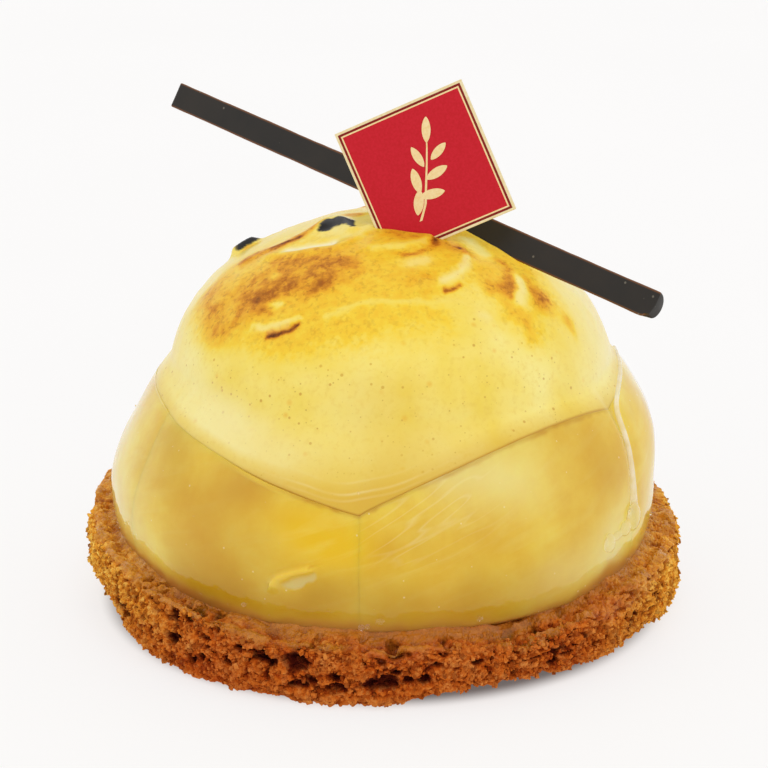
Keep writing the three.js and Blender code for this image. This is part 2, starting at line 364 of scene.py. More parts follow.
def reckon(tree, operation, *values):
    """One sum with numbers or other nodes' outputs."""
    return add(tree, "Math", dict(enumerate(values)), operation=operation).outputs[0]


def times(tree, one, other):
    """The product of two numbers."""
    return reckon(tree, "MULTIPLY", one, other)


def blend(tree, share, under, upper, kind="MIX"):
    """Lay one colour over another by this share."""
    mix = add(tree, "Mix", {"Factor": share, 6: under, 7: upper}, data_type="RGBA", blend_type=kind)
    return mix.outputs[2]


def washes(tree, colour, *layers):
    """Lay thin washes of paint over a colour, first to last. Each has its share and its colour."""
    for share, wash in layers:
        colour = blend(tree, share, colour, linear(wash))
    return colour


print("card red in linear light:", [round(v, 3) for v in linear("#c62334")])

# %% [markdown]
# The tart stands on a lit white table in a light tent: almost the same white light comes from all
# round, so shadows are only a breath of grey, and a wide softbox above lifts the upper faces a little.
# Under and just round the tart the table's own glow is turned down, a painted contact shadow that leaves a
# thin dark line.

# %% Table and light
TABLE_SIDE = 3.0  # metres
TABLE_DROP = 0.0002  # metres under the tart, so that no two faces fall together
# The glow is at its painted shadow value within the first distance and full beyond the second: a painted
# contact shadow.
SHADOW_FULL_WITHIN, LIT_BEYOND = 37.0 * MM, 41.0 * MM  # distances from the tart's middle
GLOW_IN_PAINTED_SHADOW, GLOW_OPEN = 0.12, 0.74
TENT_STRENGTH = 0.88
SOFTBOX_PLACE = Vector((0.1, -0.45, 1.1))
SOFTBOX_AIM = Vector((0, 0, 0.03))
SOFTBOX_SIDE = 0.7  # metres
SOFTBOX_WATTS = 2.6

only()
bpy.ops.mesh.primitive_plane_add(size=TABLE_SIDE, location=(0, 0, -TABLE_DROP))
table = bpy.context.object
table.name = "table"
lit_acrylic, tree, shader = start_material("lit_white_acrylic")
place = object_place(tree)
tone = shades(tree, noise(tree, place, 0.25), (0.3, "#7f7e7d"), (0.7, "#838281"))
far = add(tree, "VectorMath", {0: place}, operation="LENGTH").outputs["Value"]
glow_with_painted_shadow = add(tree, "MapRange", {"Value": far, "From Min": SHADOW_FULL_WITHIN, "From Max": LIT_BEYOND,
                              "To Min": GLOW_IN_PAINTED_SHADOW, "To Max": GLOW_OPEN}, interpolation_type="SMOOTHSTEP")
set_sockets(tree, shader, {"Base Color": tone, "Roughness": 0.7, "Specular IOR Level": 0.1,
                           "Emission Color": linear("#fefdfc"), "Emission Strength": glow_with_painted_shadow.outputs["Result"]})
table.data.materials.append(lit_acrylic)

world = bpy.data.worlds.new("light_tent")
world.use_nodes = True
set_sockets(world.node_tree, world.node_tree.nodes["Background"],
            {"Color": linear("#fdfdff"), "Strength": TENT_STRENGTH})
bpy.context.scene.world = world

bpy.ops.object.light_add(type="AREA", location=SOFTBOX_PLACE)
softbox = bpy.context.object
softbox.name = "softbox"
softbox.rotation_euler = (SOFTBOX_AIM - SOFTBOX_PLACE).to_track_quat("-Z", "Y").to_euler()
softbox.data.size = SOFTBOX_SIDE
softbox.data.energy = SOFTBOX_WATTS
softbox.visible_glossy = False
bpy.context.scene.view_settings.view_transform = "Standard"
print("softbox", softbox.data.energy, "W")

# %% [markdown]
# Biscuit base. The real one is a crumbled brown-sugar biscuit, pressed and baked: angular grains of
# about a millimetre, bright where they catch the light and almost black in the pits between them.
# A bump map would leave the outline smooth, so the relief is moved into the mesh itself.
# Its lower edge has crumbled away in places, so it stands a little off the table there.

# %% The biscuit's profile
SIDE_RADIUS = 41.75
FLAT_RADIUS = 39.2  # of the underside, where none of its edge has crumbled away
RIM = 11.8  # mean height of the rim
FRUIT_SEAT = 8.0  # height of the level floor under the fruit
BISCUIT_STEPS = 1120  # faces round the tart
SIDE_ROWS = 58
# Places where more of the lower edge is gone: angle and half width in degrees, height in millimetres.
CHIPPED_EDGE = [
    (-162, 15, 2.9), (-67, 17, 1.8), (-34, 17, 1.5), (35, 18, 0.9), (95, 16, 1.4), (140, 15, 1.0),
]


def rim_height(angle):
    """Height of the rim, low at the front right and high at the back left."""
    once = -1.3 * np.cos(angle) + 2.1 * np.sin(angle)
    return RIM + once + 0.8 * np.cos(2 * angle) - 0.4 * np.sin(2 * angle)


def edge_lift(angle):
    """Height of the lower edge above the table."""
    return 0.5 + sum(tall * bell(angle, at, half) for at, half, tall in CHIPPED_EDGE)


def rim_dips(angle):
    """How far the rim is worn down along the front, and broken away at two places, in millimetres."""
    worn_front = 0.95 * soft(np.abs(degrees_from(angle, -105)), 72, 52)
    return worn_front + 1.1 * bell(angle, -62, 16) + 0.4 * bell(angle, -112, 8)


def rim_jag(angle):
    """How much the broken rim stands above or below its even height, in millimetres."""
    ring = on_ring(angle, 41)
    return 0.7 * lumps(ring, 5.0, 14) + 0.5 * lumps(ring, 2.3, 15) - 0.8 * rim_dips(angle)


def under_row(share):
    """A row of the underside's sloping edge, from the flat part (0) out to the side (1)."""
    def row(angle):
        flat = FLAT_RADIUS - 2.9 * edge_lift(angle)
        return flat + share * (SIDE_RADIUS - 1.1 - flat), share ** 1.6 * edge_lift(angle)
    return row


def side_row(share):
    """A row of the side, from the lower edge (0) to just under the rim (1)."""
    radius = SIDE_RADIUS - 0.9 * max(1 - share / 0.35, 0) ** 2 - 0.6 * max((share - 0.6) / 0.4, 0) ** 2
    near_edge = 1.3 * max(1 - share / 0.6, 0) ** 1.5

    def row(angle):
        bulge = 0.5 * bell(angle, -8, 32) - near_edge * bell(angle, -162, 13)
        lift = edge_lift(angle)
        top = 0.955 * rim_height(angle) + share ** 3 * rim_jag(angle)
        return radius + bulge, lift + share * (top - lift)
    return row


def bank_wave(angle):
    """How much higher or lower the crumb lies against the fruit than the even rim, in millimetres."""
    ring = on_ring(angle, 38)
    waves = 0.6 * lumps(ring, 8.0, 6) + 0.5 * lumps(ring, 3.5, 7) + 0.25 * lumps(ring, 1.7, 10)
    return waves - rim_dips(angle)


def bank_row(radius, share, up):
    """A row of the crumb from the rim in to the fruit: a share of the rim's height, and `up` more."""
    def row(angle):
        height = share * rim_height(angle) + bank_wave(angle) * soft(radius, 41.0, 39.0)
        height += rim_jag(angle) * soft(radius, 39.2, 41.2)
        return np.full(len(angle), radius), height + up
    return row


# The crumb from the rim in to the fruit and under it: radius, share of the rim's height, and more.
BANK = [
    (40.95, 0.975, 0), (40.7, 0.989, 0), (40.4, 0.998, 0), (40.1, 1.001, 0), (39.8, 1.001, 0),
    (39.5, 0.998, 0), (39.25, 0.994, 0), (39.05, 0.99, 0.02), (38.85, 0.99, 0.08), (38.65, 0.99, 0.18),
    (38.45, 0.99, 0.3), (38.2, 0.99, 0.42), (37.95, 0.99, 0.55), (37.7, 0.99, 0.72), (37.4, 0.99, 0.85),
    (37.1, 0.99, 1.15), (36.8, 0.99, 1.5), (36.4, 0.98, 1.6), (36.0, 0.9, 0.0),
]
biscuit_rows = [level_row(r, 0.0) for r in (0.0, 12.0, 24.0)]
biscuit_rows += [under_row(share) for share in (0.0, 0.3, 0.55, 0.75, 0.88)]
biscuit_rows += [side_row(share) for share in np.linspace(0, 1, SIDE_ROWS)]
biscuit_rows += [bank_row(*place) for place in BANK]
biscuit_rows += [level_row(r, FRUIT_SEAT) for r in (35.6, 24.0, 0.0)]
biscuit = bent_grid("biscuit_base", biscuit_rows, BISCUIT_STEPS)
print("biscuit grid:", len(biscuit.data.vertices), "points")

# %% [markdown]
# The glaze ran over the rim of the biscuit and down its side in round lobes. Where it lies, the crumb
# is soaked: smoother, a little darker and with a shine. How far it reaches is worked out once, and
# both the relief and the material use it.

# %% How far the glaze reaches
# Lobes that reach further down: angle and half width in degrees, length in millimetres.
LOBES = [
    (-43, 6, 2.0), (-33, 6, 1.4), (-60, 5, 0.8), (-148, 14, 0.8), (-117, 7, 0.9), (-86, 8, 1.2),
    (20, 8, 2.0), (75, 9, 2.0), (120, 7, 1.6), (150, 8, 2.0),
]


def glaze_reach(angle):
    """How far the crumb is soaked, in millimetres below the rim."""
    ring = on_ring(angle, 40)
    reach = 0.9 + 0.7 * lumps(ring, 6.0, 91) + 0.4 * lumps(ring, 2.6, 92)
    return reach + sum(far * bell(angle, at, half) for at, half, far in LOBES)


base = points(biscuit)
angle, radius = around(base), np.hypot(base[:, 0], base[:, 1])
below_rim = rim_height(angle) - base[:, 2]
not_inside = soft(radius, 36, 37)
wet = soft(below_rim - glaze_reach(angle) + 0.5 * lumps(base, 1.4, 93), 0.7, -0.7) * not_inside
paint(biscuit, "wet", wet)
print("soaked share of the biscuit's points:", wet.mean().round(3))

# %% [markdown]
# The relief is built up as the biscuit is: large clumps, then grains of three sizes that each stand
# a little higher or lower than their neighbours, with grooves between them. Last come the pits where
# crumbs fell out. Those at the front are placed one by one; the rest are scattered by chance.

# %% Crumb relief
# Size of the grains, how far they differ in height, depth of the grooves, share in the shade, seed.
GRAIN_SIZES = [(2.8, 0.32, 0.2, 0.3, 20), (1.2, 0.26, 0.12, 0.35, 30), (0.6, 0.34, 0.1, 0.35, 50)]
# Pits: angle in degrees, height, width and height of the opening in millimetres.
PITS = [
    (-129.9, 5.7, 1.5, 1.3), (-123.6, 6.8, 1.9, 1.0), (-127.2, 3.4, 1.4, 1.0), (-124.6, 3.8, 1.3, 1.3),
    (-118.5, 4.5, 2.2, 1.3), (-116.5, 6.7, 1.6, 1.0), (-112.3, 6.0, 2.7, 1.7), (-105.5, 5.5, 4.2, 3.0),
    (-105.2, 2.6, 3.2, 1.5), (-99.2, 2.5, 4.5, 1.8), (-90.2, 3.3, 6.0, 2.6), (-87.9, 7.6, 2.8, 1.7),
    (-85.5, 3.8, 1.8, 1.3), (-79.3, 7.4, 2.4, 1.0), (-64.6, 7.5, 2.9, 1.7), (-48.3, 4.6, 2.8, 1.0),
    (-45.0, 5.0, 1.3, 0.8), (-58.1, 3.5, 2.2, 1.3), (-55.0, 4.3, 2.2, 0.9), (-71.1, 3.7, 1.6, 1.2),
    (-37.8, 4.9, 1.5, 1.5), (-22.9, 9.6, 1.1, 1.4), (-22.1, 7.5, 1.1, 1.4), (-138.0, 9.3, 1.3, 1.0),
    (-142.7, 10.2, 1.1, 1.0), (-150.0, 7.5, 1.5, 1.2),
]
SCATTERED_PITS = 230
SHELF = (-97.0, 11.0, 1.3)  # a flake left at the foot of the front: angle, half width, height
chance = np.random.default_rng(5)
for number in range(SCATTERED_PITS):
    wide = 0.7 + 2.2 * chance.random() ** 2
    at, high = chance.uniform(-180, 180), chance.uniform(2.0, 10.5)
    PITS.append((at, high, wide, wide * chance.uniform(0.35, 0.8)))


def crumb_relief(xyz):
    """Height of the crumb in millimetres, and a number that tells the grains apart."""
    bend = 0.35 * np.stack([lumps(xyz, 1.4, seed) for seed in (11, 12, 13)], -1)
    height = 0.35 * lumps(xyz, 6.0, 1) + 0.25 * lumps(xyz, 2.8, 2)
    height = height + 0.18 * lumps(xyz, 1.0, 3) + 0.12 * lumps(xyz, 0.5, 8)
    flat = (xyz + 2 * bend) * np.array([1.0, 1.0, 1.8])
    height -= 0.7 * soft(np.abs(lumps(flat, 2.6, 4)), 0.16, 0.02) * soft(lumps(xyz, 5.0, 5), -0.1, 0.35)
    number = np.zeros(len(xyz))
    for size, step, groove, part, seed in GRAIN_SIZES:
        nearest, second, own = grains(xyz + bend, size, seed)
        between = np.exp(-(((second - nearest) * size / (0.08 + 0.09 * size)) ** 2))
        height += step * (own - 0.5) - groove * between
        number += part * own
    return height, number


def dark_bake(xyz):
    """How much darker the front and the back of the biscuit were baked than its sides, and how much darker
    its left side is towards the bottom.
    """
    angle = around(xyz)
    pale = bell(angle, -116, 18) * soft(xyz[:, 2] / rim_height(angle), 0.75, 0.95)
    behind = 0.45 * soft(np.abs(degrees_from(angle, 92)), 75, 50)
    low = 0.4 * soft(xyz[:, 2], 7.5, 2.5) * bell(angle, -152, 22)
    return behind + low + soft(np.abs(degrees_from(angle, -88)), 72, 32) * (0.95 - 0.35 * pale)


def pit_depth(xyz):
    """How deep the pits are at each point, with ragged edges."""
    angle, depth = around(xyz), np.zeros(len(xyz))
    ragged = np.stack([lumps(xyz, 1.1, 41), lumps(xyz, 1.1, 42)], -1) * 0.4
    for at, high, wide, tall in PITS:
        across = np.radians(degrees_from(angle, at)) * SIDE_RADIUS + ragged[:, 0]
        far = np.hypot(across / (wide / 2), (xyz[:, 2] - high + ragged[:, 1]) / (tall / 2))
        depth = np.maximum(depth, soft(far, 1.15, 0.5) * min(0.45 + 0.45 * min(wide, tall), 1.15))
    return depth


relief, number = crumb_relief(base)
on_shelf = soft(np.abs(degrees_from(angle, SHELF[0])), SHELF[1], SHELF[1] - 3)
relief += 0.6 * on_shelf * soft(base[:, 2], SHELF[2] + 0.3, SHELF[2])
open_side = soft(radius, 36.2, 38.2) * soft(base[:, 2], 0.0, 0.3)
banked = soft(base[:, 2] / rim_height(angle), 0.9, 0.98)
over_rim = base[:, 2] - 0.99 * rim_height(angle) - bank_wave(angle)
syrup = soft(over_rim + 0.5 * lumps(base, 2.0, 9), -0.2, 0.6) * not_inside
height = (relief * (1 - 0.4 * syrup) * (1 - 0.2 * wet) - pit_depth(base) * (1 - banked)) * open_side
moved = base + normals(biscuit) * height[:, None]
moved[:, 2] = np.maximum(moved[:, 2], 0.0)
put(biscuit, moved)
only(biscuit)
bpy.ops.object.shade_flat()
paint(biscuit, "crumb_height", height)
paint(biscuit, "syrup", syrup)
paint(biscuit, "dark_bake", dark_bake(base))
paint(biscuit, "grain_number", number)
print("crumb height from", height.min().round(2), "to", height.max().round(2), "mm")

# %% [markdown]
# Baked biscuit is rough and takes no shine, except where the glaze soaked it. Its colour follows the
# height of the crumb, as painted shade: dark in the pits and golden on the raised grains. Each grain
# also has its own tone, from burnt sugar to pale butter.

# %% Biscuit material
biscuit_bake, tree, shader = start_material("baked_brown_sugar_biscuit")
tall = attribute(tree, "crumb_height")
grain = attribute(tree, "grain_number")
soaked = attribute(tree, "wet")
front = attribute(tree, "dark_bake")
sticky = attribute(tree, "syrup")
place = object_place(tree)
fleck = noise(tree, place, 0.55 * MM, Detail=4.0)
from_sugar, sugar_tone = cells(tree, place, 0.5 * MM)
share = stretch(tree, tall, -1.3, 0.75)
level = reckon(tree, "SUBTRACT", reckon(tree, "MULTIPLY_ADD", fleck, 0.55, share), 0.27)
# Painted shade and light: the baked colours darken where the crumb lies low and lighten on the raised
# grains.
bake_and_pit_shade = shades(tree, level, (0.0, "#712e0d"), (0.22, "#b55f16"), (0.42, "#e89126"),
              (0.62, "#fab438"), (0.82, "#ffce5a"), (1.0, "#ffe270"))
sugar = shades(tree, sugar_tone, (0.1, "#ab5411"), (0.4, "#df8c24"), (0.65, "#f8b238"), (0.9, "#ffdc72"))
clump = shades(tree, grain, (0.25, "#c8b4a0"), (0.5, "#ffffff"))
# Painted shade in the pits: the lowest crumb is darkened once more.
depth = shades(tree, share, (0.0, "#8c6048"), (0.4, "#ffffff"))
tinted = blend(tree, 1.0, blend(tree, 0.45, bake_and_pit_shade, sugar), clump, "MULTIPLY")
crumb = blend(tree, 1.0, tinted, depth, "MULTIPLY")
blotch = noise(tree, place, 2.0 * MM, Detail=4.0, Roughness=0.65)
soaked_tone = shades(tree, blotch, (0.36, "#a04c12"), (0.5, "#d68420"), (0.66, "#f2b448"))
stained = blend(tree, times(tree, soaked, 0.5), crumb, soaked_tone)
toned = blend(tree, front, stained, linear("#d39591"), "MULTIPLY")
colour = washes(tree, toned, (times(tree, sticky, 0.5), "#c0801e"))
gloss = reckon(tree, "MAXIMUM", times(tree, soaked, 0.6), sticky)
facet = reckon(tree, "MULTIPLY_ADD", from_sugar, -0.6, fleck)
set_sockets(tree, shader, {
    "Base Color": colour, "Roughness": 0.9, "Normal": bump(tree, facet, 1.0, 0.35 * MM),
    "Specular IOR Level": 0.1, "Coat Weight": gloss, "Coat Roughness": 0.08, "Coat IOR": 1.38})
biscuit.data.materials.append(biscuit_bake)
finish_piece(biscuit, "biscuit", "crust")

# %% [markdown]
# Loose crumbs. Single sharp grains stand off the baked side and give it its ragged outline.
# Four small chips are each cut from a cube with its corners pushed about, then copied all over the
# side, sunk by about half so that they look baked in. Each has few faces, as there are many of them.

# %% Four crumb chips
CHIP_KINDS = 4
chips = []
for number in range(CHIP_KINDS):
    only()
    bpy.ops.mesh.primitive_cube_add(size=1.0)
    chip = bpy.context.object
    corner = points(chip) * MM
    corner = corner * (0.75 + 0.5 * chance.random(corner.shape)) + 0.18 * chance.normal(size=corner.shape)
    chips.append((corner, np.array([list(p.vertices) for p in chip.data.polygons])))
    bpy.data.objects.remove(chip)
print("chips with", [len(f) for _, f in chips], "faces")

# %% Copy the chips over the side
CRUMBS = 4600
LOWEST_CRUMB = 0.05  # crumbs that would reach below this height are left out
skin, out = points(biscuit), normals(biscuit)
on_side = (radius > 39.5) & (base[:, 2] > 0.6) & (below_rim > 0.4)
side = np.flatnonzero(on_side & (height > -0.7) & (wet < 0.7))
corners, faces, numbers, heights, count = [], [], [], [], 0
for at in chance.choice(side, CRUMBS, replace=False):
    corner, face = chips[chance.integers(CHIP_KINDS)]
    size = 0.17 + 0.38 * chance.random() ** 3
    turn = np.array(Matrix.Rotation(6.3 * chance.random(), 3, Vector(chance.normal(size=3))))
    chip = corner @ turn.T * size * (0.8 + 0.6 * chance.random(3)) + skin[at] + out[at] * size * 0.15
    if chip[:, 2].min() < LOWEST_CRUMB:
        continue
    corners.append(chip)
    faces.append(face + count)
    count += len(chip)
    numbers.append(np.full(len(chip), chance.random()))
    # Each chip carries the crumb height where it sits, more on its outer corners, so the height-driven
    # painted shade lights its outside and darkens its sunk part.
    heights.append(height[at] + 0.1 + (chip - skin[at]) @ out[at] * 0.5)
mesh = bpy.data.meshes.new("loose_crumbs")
mesh.from_pydata((np.concatenate(corners) * MM).tolist(), [], np.concatenate(faces).tolist())
crumbs = bpy.data.objects.new("loose_crumbs", mesh)
bpy.context.collection.objects.link(crumbs)
paint(crumbs, "grain_number", np.concatenate(numbers))
paint(crumbs, "crumb_height", np.concatenate(heights))
paint(crumbs, "wet", np.zeros(count))
paint(crumbs, "syrup", np.zeros(count))
paint(crumbs, "dark_bake", dark_bake(np.concatenate(corners)))
only(crumbs)
bpy.ops.object.mode_set(mode="EDIT")
bpy.ops.mesh.select_all(action="SELECT")
bpy.ops.mesh.normals_make_consistent(inside=False)
bpy.ops.object.mode_set(mode="OBJECT")
crumbs.data.materials.append(biscuit_bake)
finish_piece(crumbs, "biscuit")

# %% [markdown]
# Pears. Six pieces of poached pear stand round the tart and lean against each other. Each is a
# closed, slightly bulging wedge whose upper edge is an arch; where two meet they dip into a seam
# that the glaze has almost filled. They are cut short inside, where the cream hides them.

# %% The pears' shape
SEAMS = np.radians([-94.6, -28.8, 31.0, 90.0, 149.5, 208.8])
SEAM_ENDS = np.append(SEAMS[1:], SEAMS[0] + 2 * math.pi)
PEAR_SPANS = SEAM_ENDS - SEAMS
SEAM_TOPS = np.array([24.3, 31.7, 30.5, 30.0, 30.0, 31.1])  # height of the edge at each seam
SEAM_DENTS = np.array([0.22, 0.4, 0.4, 0.4, 0.4, 0.08])  # how deep each seam is
ARCHES = np.array([3.6, 3.0, 2.5, 2.5, 1.5, 0.6])  # how far each edge rises between its seams
PEAR_RADIUS = 38.4
PEAR_MIDDLE = 16.5  # height at which the bulge is widest
PEAR_HALF_HEIGHT = 31
PEAR_LEAN = 1.5  # the upper part leans this far to the right
PEAR_FOOT, FACE_FOOT = 8.3, 8.9
CUT_RADIUS = 30.0  # where the pieces end inside
ROLL = 0.12  # radius of the rounded upper edge
# How dark the thin painted shadow line is where cream and pear meet: angle in degrees, strength.
EDGE_SHADOW = [
    (-180, 0.0), (-128, 0.0), (-115, 0.25), (-108, 0.75), (-99, 0.8), (-94, 0.7), (-88, 0.6), (-75, 0.6),
    (-60, 0.65), (-45, 0.65), (-33, 0.6), (-29, 0.1), (-20, 0.0), (180, 0.0),
]


def pear_share(angle):
    """Which pear an angle falls on, and how far across it, from 0 to 1."""
    past = SEAMS[0] + (np.asarray(angle) - SEAMS[0] + 1e-9) % (2 * math.pi)
    number = np.searchsorted(SEAMS, past, side="right") - 1
    return number, (past - SEAMS[number]) / PEAR_SPANS[number]


def pear_top(angle):
    """Height of the pears' upper edge."""
    number, share = pear_share(angle)
    ends = SEAM_TOPS[number] * (1 - share) + SEAM_TOPS[(number + 1) % len(SEAMS)] * share
    return ends + ARCHES[number] * np.maximum(np.sin(np.pi * share), 0) ** 0.75


def pear_radius(angle, z):
    """How far out the pears' face is at an angle and a height."""
    oval = PEAR_RADIUS * np.sqrt(1 - ((z - PEAR_MIDDLE) / PEAR_HALF_HEIGHT) ** 2)
    oval = oval + PEAR_LEAN * soft(z, 17, 29) * np.cos(angle)
    number, share = pear_share(angle)
    wide = PEAR_SPANS[number] * PEAR_RADIUS
    dent = SEAM_DENTS[number] * np.exp(-((share * wide / 2.2) ** 2))
    dent += SEAM_DENTS[(number + 1) % len(SEAMS)] * np.exp(-(((1 - share) * wide / 0.9) ** 2))
    here = np.stack([oval * np.cos(angle), oval * np.sin(angle), z], -1)
    return oval - dent * soft(z, 14.0, 21.0) + 0.25 * lumps(here, 9.0) + 0.05 * lumps(here, 3.0, 4)


def edge_shadow(angle):
    """How dark the thin painted shadow line is where cream and pear meet, by the angle."""
    wrapped = (np.degrees(angle) + 180) % 360 - 180
    return np.interp(wrapped, *zip(*EDGE_SHADOW))


def pear_face(share):
    """A row of the outer face, from the foot to just under the edge."""
    def row(angle):
        z = FACE_FOOT + share * (pear_top(angle) - ROLL - FACE_FOOT)
        return pear_radius(angle, z), z
    return row


def pear_roll(turn):
    """A row of the rounded upper edge, at this angle round its roll."""
    def row(angle):
        z = pear_top(angle) - ROLL
        return pear_radius(angle, z) - ROLL * (1 - math.cos(turn)), z + ROLL * math.sin(turn)
    return row


def pear_inside(inset, below):
    """A row inside, `below` the upper edge."""
    return lambda angle: (pear_radius(angle, pear_top(angle)) - inset, pear_top(angle) - below)


pear_rows = [level_row(r, PEAR_FOOT) for r in (CUT_RADIUS, 34.5, 36.6)]
pear_rows += [pear_face(share) for share in np.linspace(0, 1, 96)]
pear_rows += [pear_roll(turn) for turn in np.linspace(0.25, math.pi / 2, 5)]
pear_rows += [pear_inside(3.0, 0.7), pear_inside(6.0, 2.2), level_row(CUT_RADIUS, 15.0), pear_rows[0]]
print("pear edge heights", pear_top(np.radians([-130, -94, -60])).round(1))

# %% [markdown]
# Poached pear under glaze is a soft, see-through yellow: tan and olive stains, pale fibres that run
# slantwise, a thin painted shadow line along the upper edge, and a brown tint near the biscuit, partly the
# crumb shining through and partly painted shade.
# Light scatters inside it, so it has some subsurface, and the clear glaze on it is the shader's coat.

# %% Pear material
FIBRE_LENGTH = 11.0  # millimetres


def fibres(tree, flat, slant, wide, **sockets):
    """Noise drawn out into fibres that slope by `slant` degrees and are `wide` millimetres across."""
    drawn = add(tree, "Mapping", {"Vector": flat, "Rotation": (0, 0, math.radians(slant)),
                                  "Scale": (FIBRE_LENGTH, wide, 1.0)}, vector_type="TEXTURE")
    return noise(tree, drawn.outputs[0], 1.0, **sockets)


pear_flesh, tree, shader = start_material("poached_pear_glazed")
value = {name: attribute(tree, name) for name in (
    "along_mm", "high_mm", "edge_shadow", "ripe", "tan", "olive_and_low_shade",
    "pale", "thread", "foot", "brim", "cut", "rim")}
flat = add(tree, "CombineXYZ", {"X": value["along_mm"], "Y": value["high_mm"]}).outputs[0]
stain = noise(tree, flat, 9.0, Detail=6.0, Roughness=0.6)
ground = shades(tree, stain, (0.3, "#dcac2e"), (0.45, "#e4bc3c"), (0.58, "#eaca4a"), (0.72, "#eed85e"))
fibre = fibres(tree, flat, 20, 2.0, Detail=4.0, Distortion=0.5)
hair = fibres(tree, flat, 28, 1.5, Detail=0.6, Distortion=0.25)
streak = stretch(tree, fibre, 0.5, 0.75, 0.3)
from_hair = reckon(tree, "ABSOLUTE", reckon(tree, "SUBTRACT", hair, 0.5))
strand = stretch(tree, from_hair, 0.05, 0.0, 0.22)
from_dust, dust = cells(tree, flat, 1.5)
bright = reckon(tree, "LESS_THAN", from_dust, stretch(tree, dust, 0.4, 1.0, 0.1))
colour = washes(
    # olive: stains, and painted shade along the lower front of the pears
    tree, ground, (streak, "#ecd870"), (value["tan"], "#cc972a"), (value["olive_and_low_shade"], "#ba8804"),
    # pale: pale flesh, and a painted sheen of the glaze at the pears' sides
    (value["pale"], "#eadc8c"), (value["ripe"], "#e8bc06"), (times(tree, streak, value["ripe"]), "#f4e478"),
    (times(tree, strand, value["thread"]), "#f3e6b0"), (times(tree, value["foot"], 0.9), "#d0a044"),
    # brim: painted shade where the pear meets the crumb
    (stretch(tree, value["foot"], 0.4, 0.95, 0.85), "#cc9240"), (value["brim"], "#b4702a"),
    # rim: painted highlight on the flap's raised rim and on the lip
    (times(tree, bright, 0.4), "#f6ecc4"), (value["cut"], "#dac67c"), (value["rim"], "#efcb4a"),
    # a thin painted shadow line just under the cream
    (value["edge_shadow"], "#c4841a"))
set_sockets(tree, shader, {
    "Base Color": colour, "Normal": bump(tree, fibre, 0.1, 0.3 * MM), "Roughness": 0.5,
    "Specular IOR Level": 0.05, "Subsurface Weight": 0.3, "Subsurface Scale": 2.5 * MM,
    "Subsurface Radius": (1.0, 0.6, 0.18), "Coat Weight": 1.0, "Coat Roughness": 0.03, "Coat IOR": 1.35})
print("pear material", len(tree.nodes), "nodes")

# %% [markdown]
# The stains of the two pears at the front are placed one by one, as on the real tart; the others get
# theirs by chance. A small flap of flesh, lifted by the knife, stands out near the front seam.

# %% Where the pears are stained
# Each stain has its place and its radius in millimetres, and its strength.
RIPE = [
    ((-7.5, -36.9, 22.0), 4.6, 0.7), ((-4.8, -37.7, 19.6), 4.0, 0.45), ((-11.4, -36.5, 20.6), 4.5, 0.4),
    ((-13.0, -34.9, 23.4), 3.5, 0.3), ((4.0, -38.0, 18.0), 5.0, 0.25), ((16.0, -34.0, 19.0), 6.0, 0.25),
    ((36.0, -10.5, 26.0), 5.0, 0.55), ((37.4, -8.5, 20.0), 5.0, 0.4),
]
TAN = [
    ((-22.6, -30.1, 21.8), 7.5, 0.42), ((-25.0, -27.8, 20.4), 6.0, 0.2), ((-19.8, -32.3, 20.0), 5.0, 0.2),
    ((-19.9, -28.9, 27.7), 3.6, 0.5), ((-16.9, -31.5, 26.6), 3.2, 0.5), ((-4.8, -38.2, 16.1), 3.0, 0.4),
    ((20.1, -27.2, 32.5), 5.0, 0.3), ((25.5, -24.3, 30.8), 5.5, 0.25), ((29.7, -21.9, 27.9), 5.0, 0.3),
    ((28.9, -24.4, 25.2), 5.0, 0.25), ((31.2, -22.1, 23.1), 3.5, 0.3), ((-1.6, -37.9, 20.6), 2.2, 0.6),
    ((4.6, -37.7, 20.8), 3.2, 0.4), ((13.5, -35.7, 21.4), 3.6, 0.25), ((4.4, -38.1, 14.0), 2.6, 0.45),
    ((7.2, -37.6, 13.2), 2.4, 0.5), ((11.6, -36.9, 14.2), 2.8, 0.45), ((13.0, -35.8, 17.0), 7.0, 0.18),
    ((25.0, -28.6, 19.0), 7.0, 0.22),
]
# The first six lie in a band along the lower front of the pears and darken it there: painted shade as well
# as stain. The others are stains.
OLIVE_AND_LOW_SHADE = [
    ((-23.9, -28.9, 11.6), 5.5, 0.7), ((-17.4, -33.2, 12.0), 6.0, 0.7), ((-9.0, -37.0, 12.5), 5.0, 0.7),
    ((1.0, -38.0, 11.5), 6.0, 0.65), ((12.4, -35.5, 10.9), 6.0, 0.6), ((19.6, -32.0, 10.4), 6.0, 0.35),
    ((-28.2, -19.5, 28.5), 4.0, 0.35), ((-27.7, -22.9, 25.5), 5.0, 0.3), ((37.0, -7.5, 25.0), 5.0, 0.35),
]
# Those at the lower right and at the left and right sides paint the sheen of the glaze there.
PALE_AND_SHEEN = [
    ((8.4, -35.1, 27.9), 3.5, 0.5), ((13.5, -33.6, 28.3), 4.0, 0.55), ((18.6, -31.4, 27.0), 5.0, 0.5),
    ((22.9, -30.3, 12.6), 4.5, 0.3), ((28.5, -25.7, 13.9), 4.5, 0.5), ((30.2, -23.8, 15.3), 3.5, 0.45),
    ((-36.0, -12.0, 19.0), 9.0, 0.3), ((-33.0, -19.0, 16.0), 6.0, 0.25), ((37.0, -9.0, 13.5), 3.0, 0.25),
]
THREADS = [((1.0, -37.6, 23.0), 4.0, 1.0), ((6.0, -36.8, 25.0), 4.5, 0.9), ((12.0, -34.8, 26.5), 4.5, 0.7)]
chance = np.random.default_rng(17)


def back_spots(count, strength):
    """Stains at places by chance, on the pears that turn away from the front."""
    spots = []
    for turn in np.radians(chance.uniform(-10, 190, count)):
        at = (37 * math.cos(turn), 37 * math.sin(turn), chance.uniform(11, 30))
        spots.append((at, chance.uniform(3, 6), strength))
    return spots


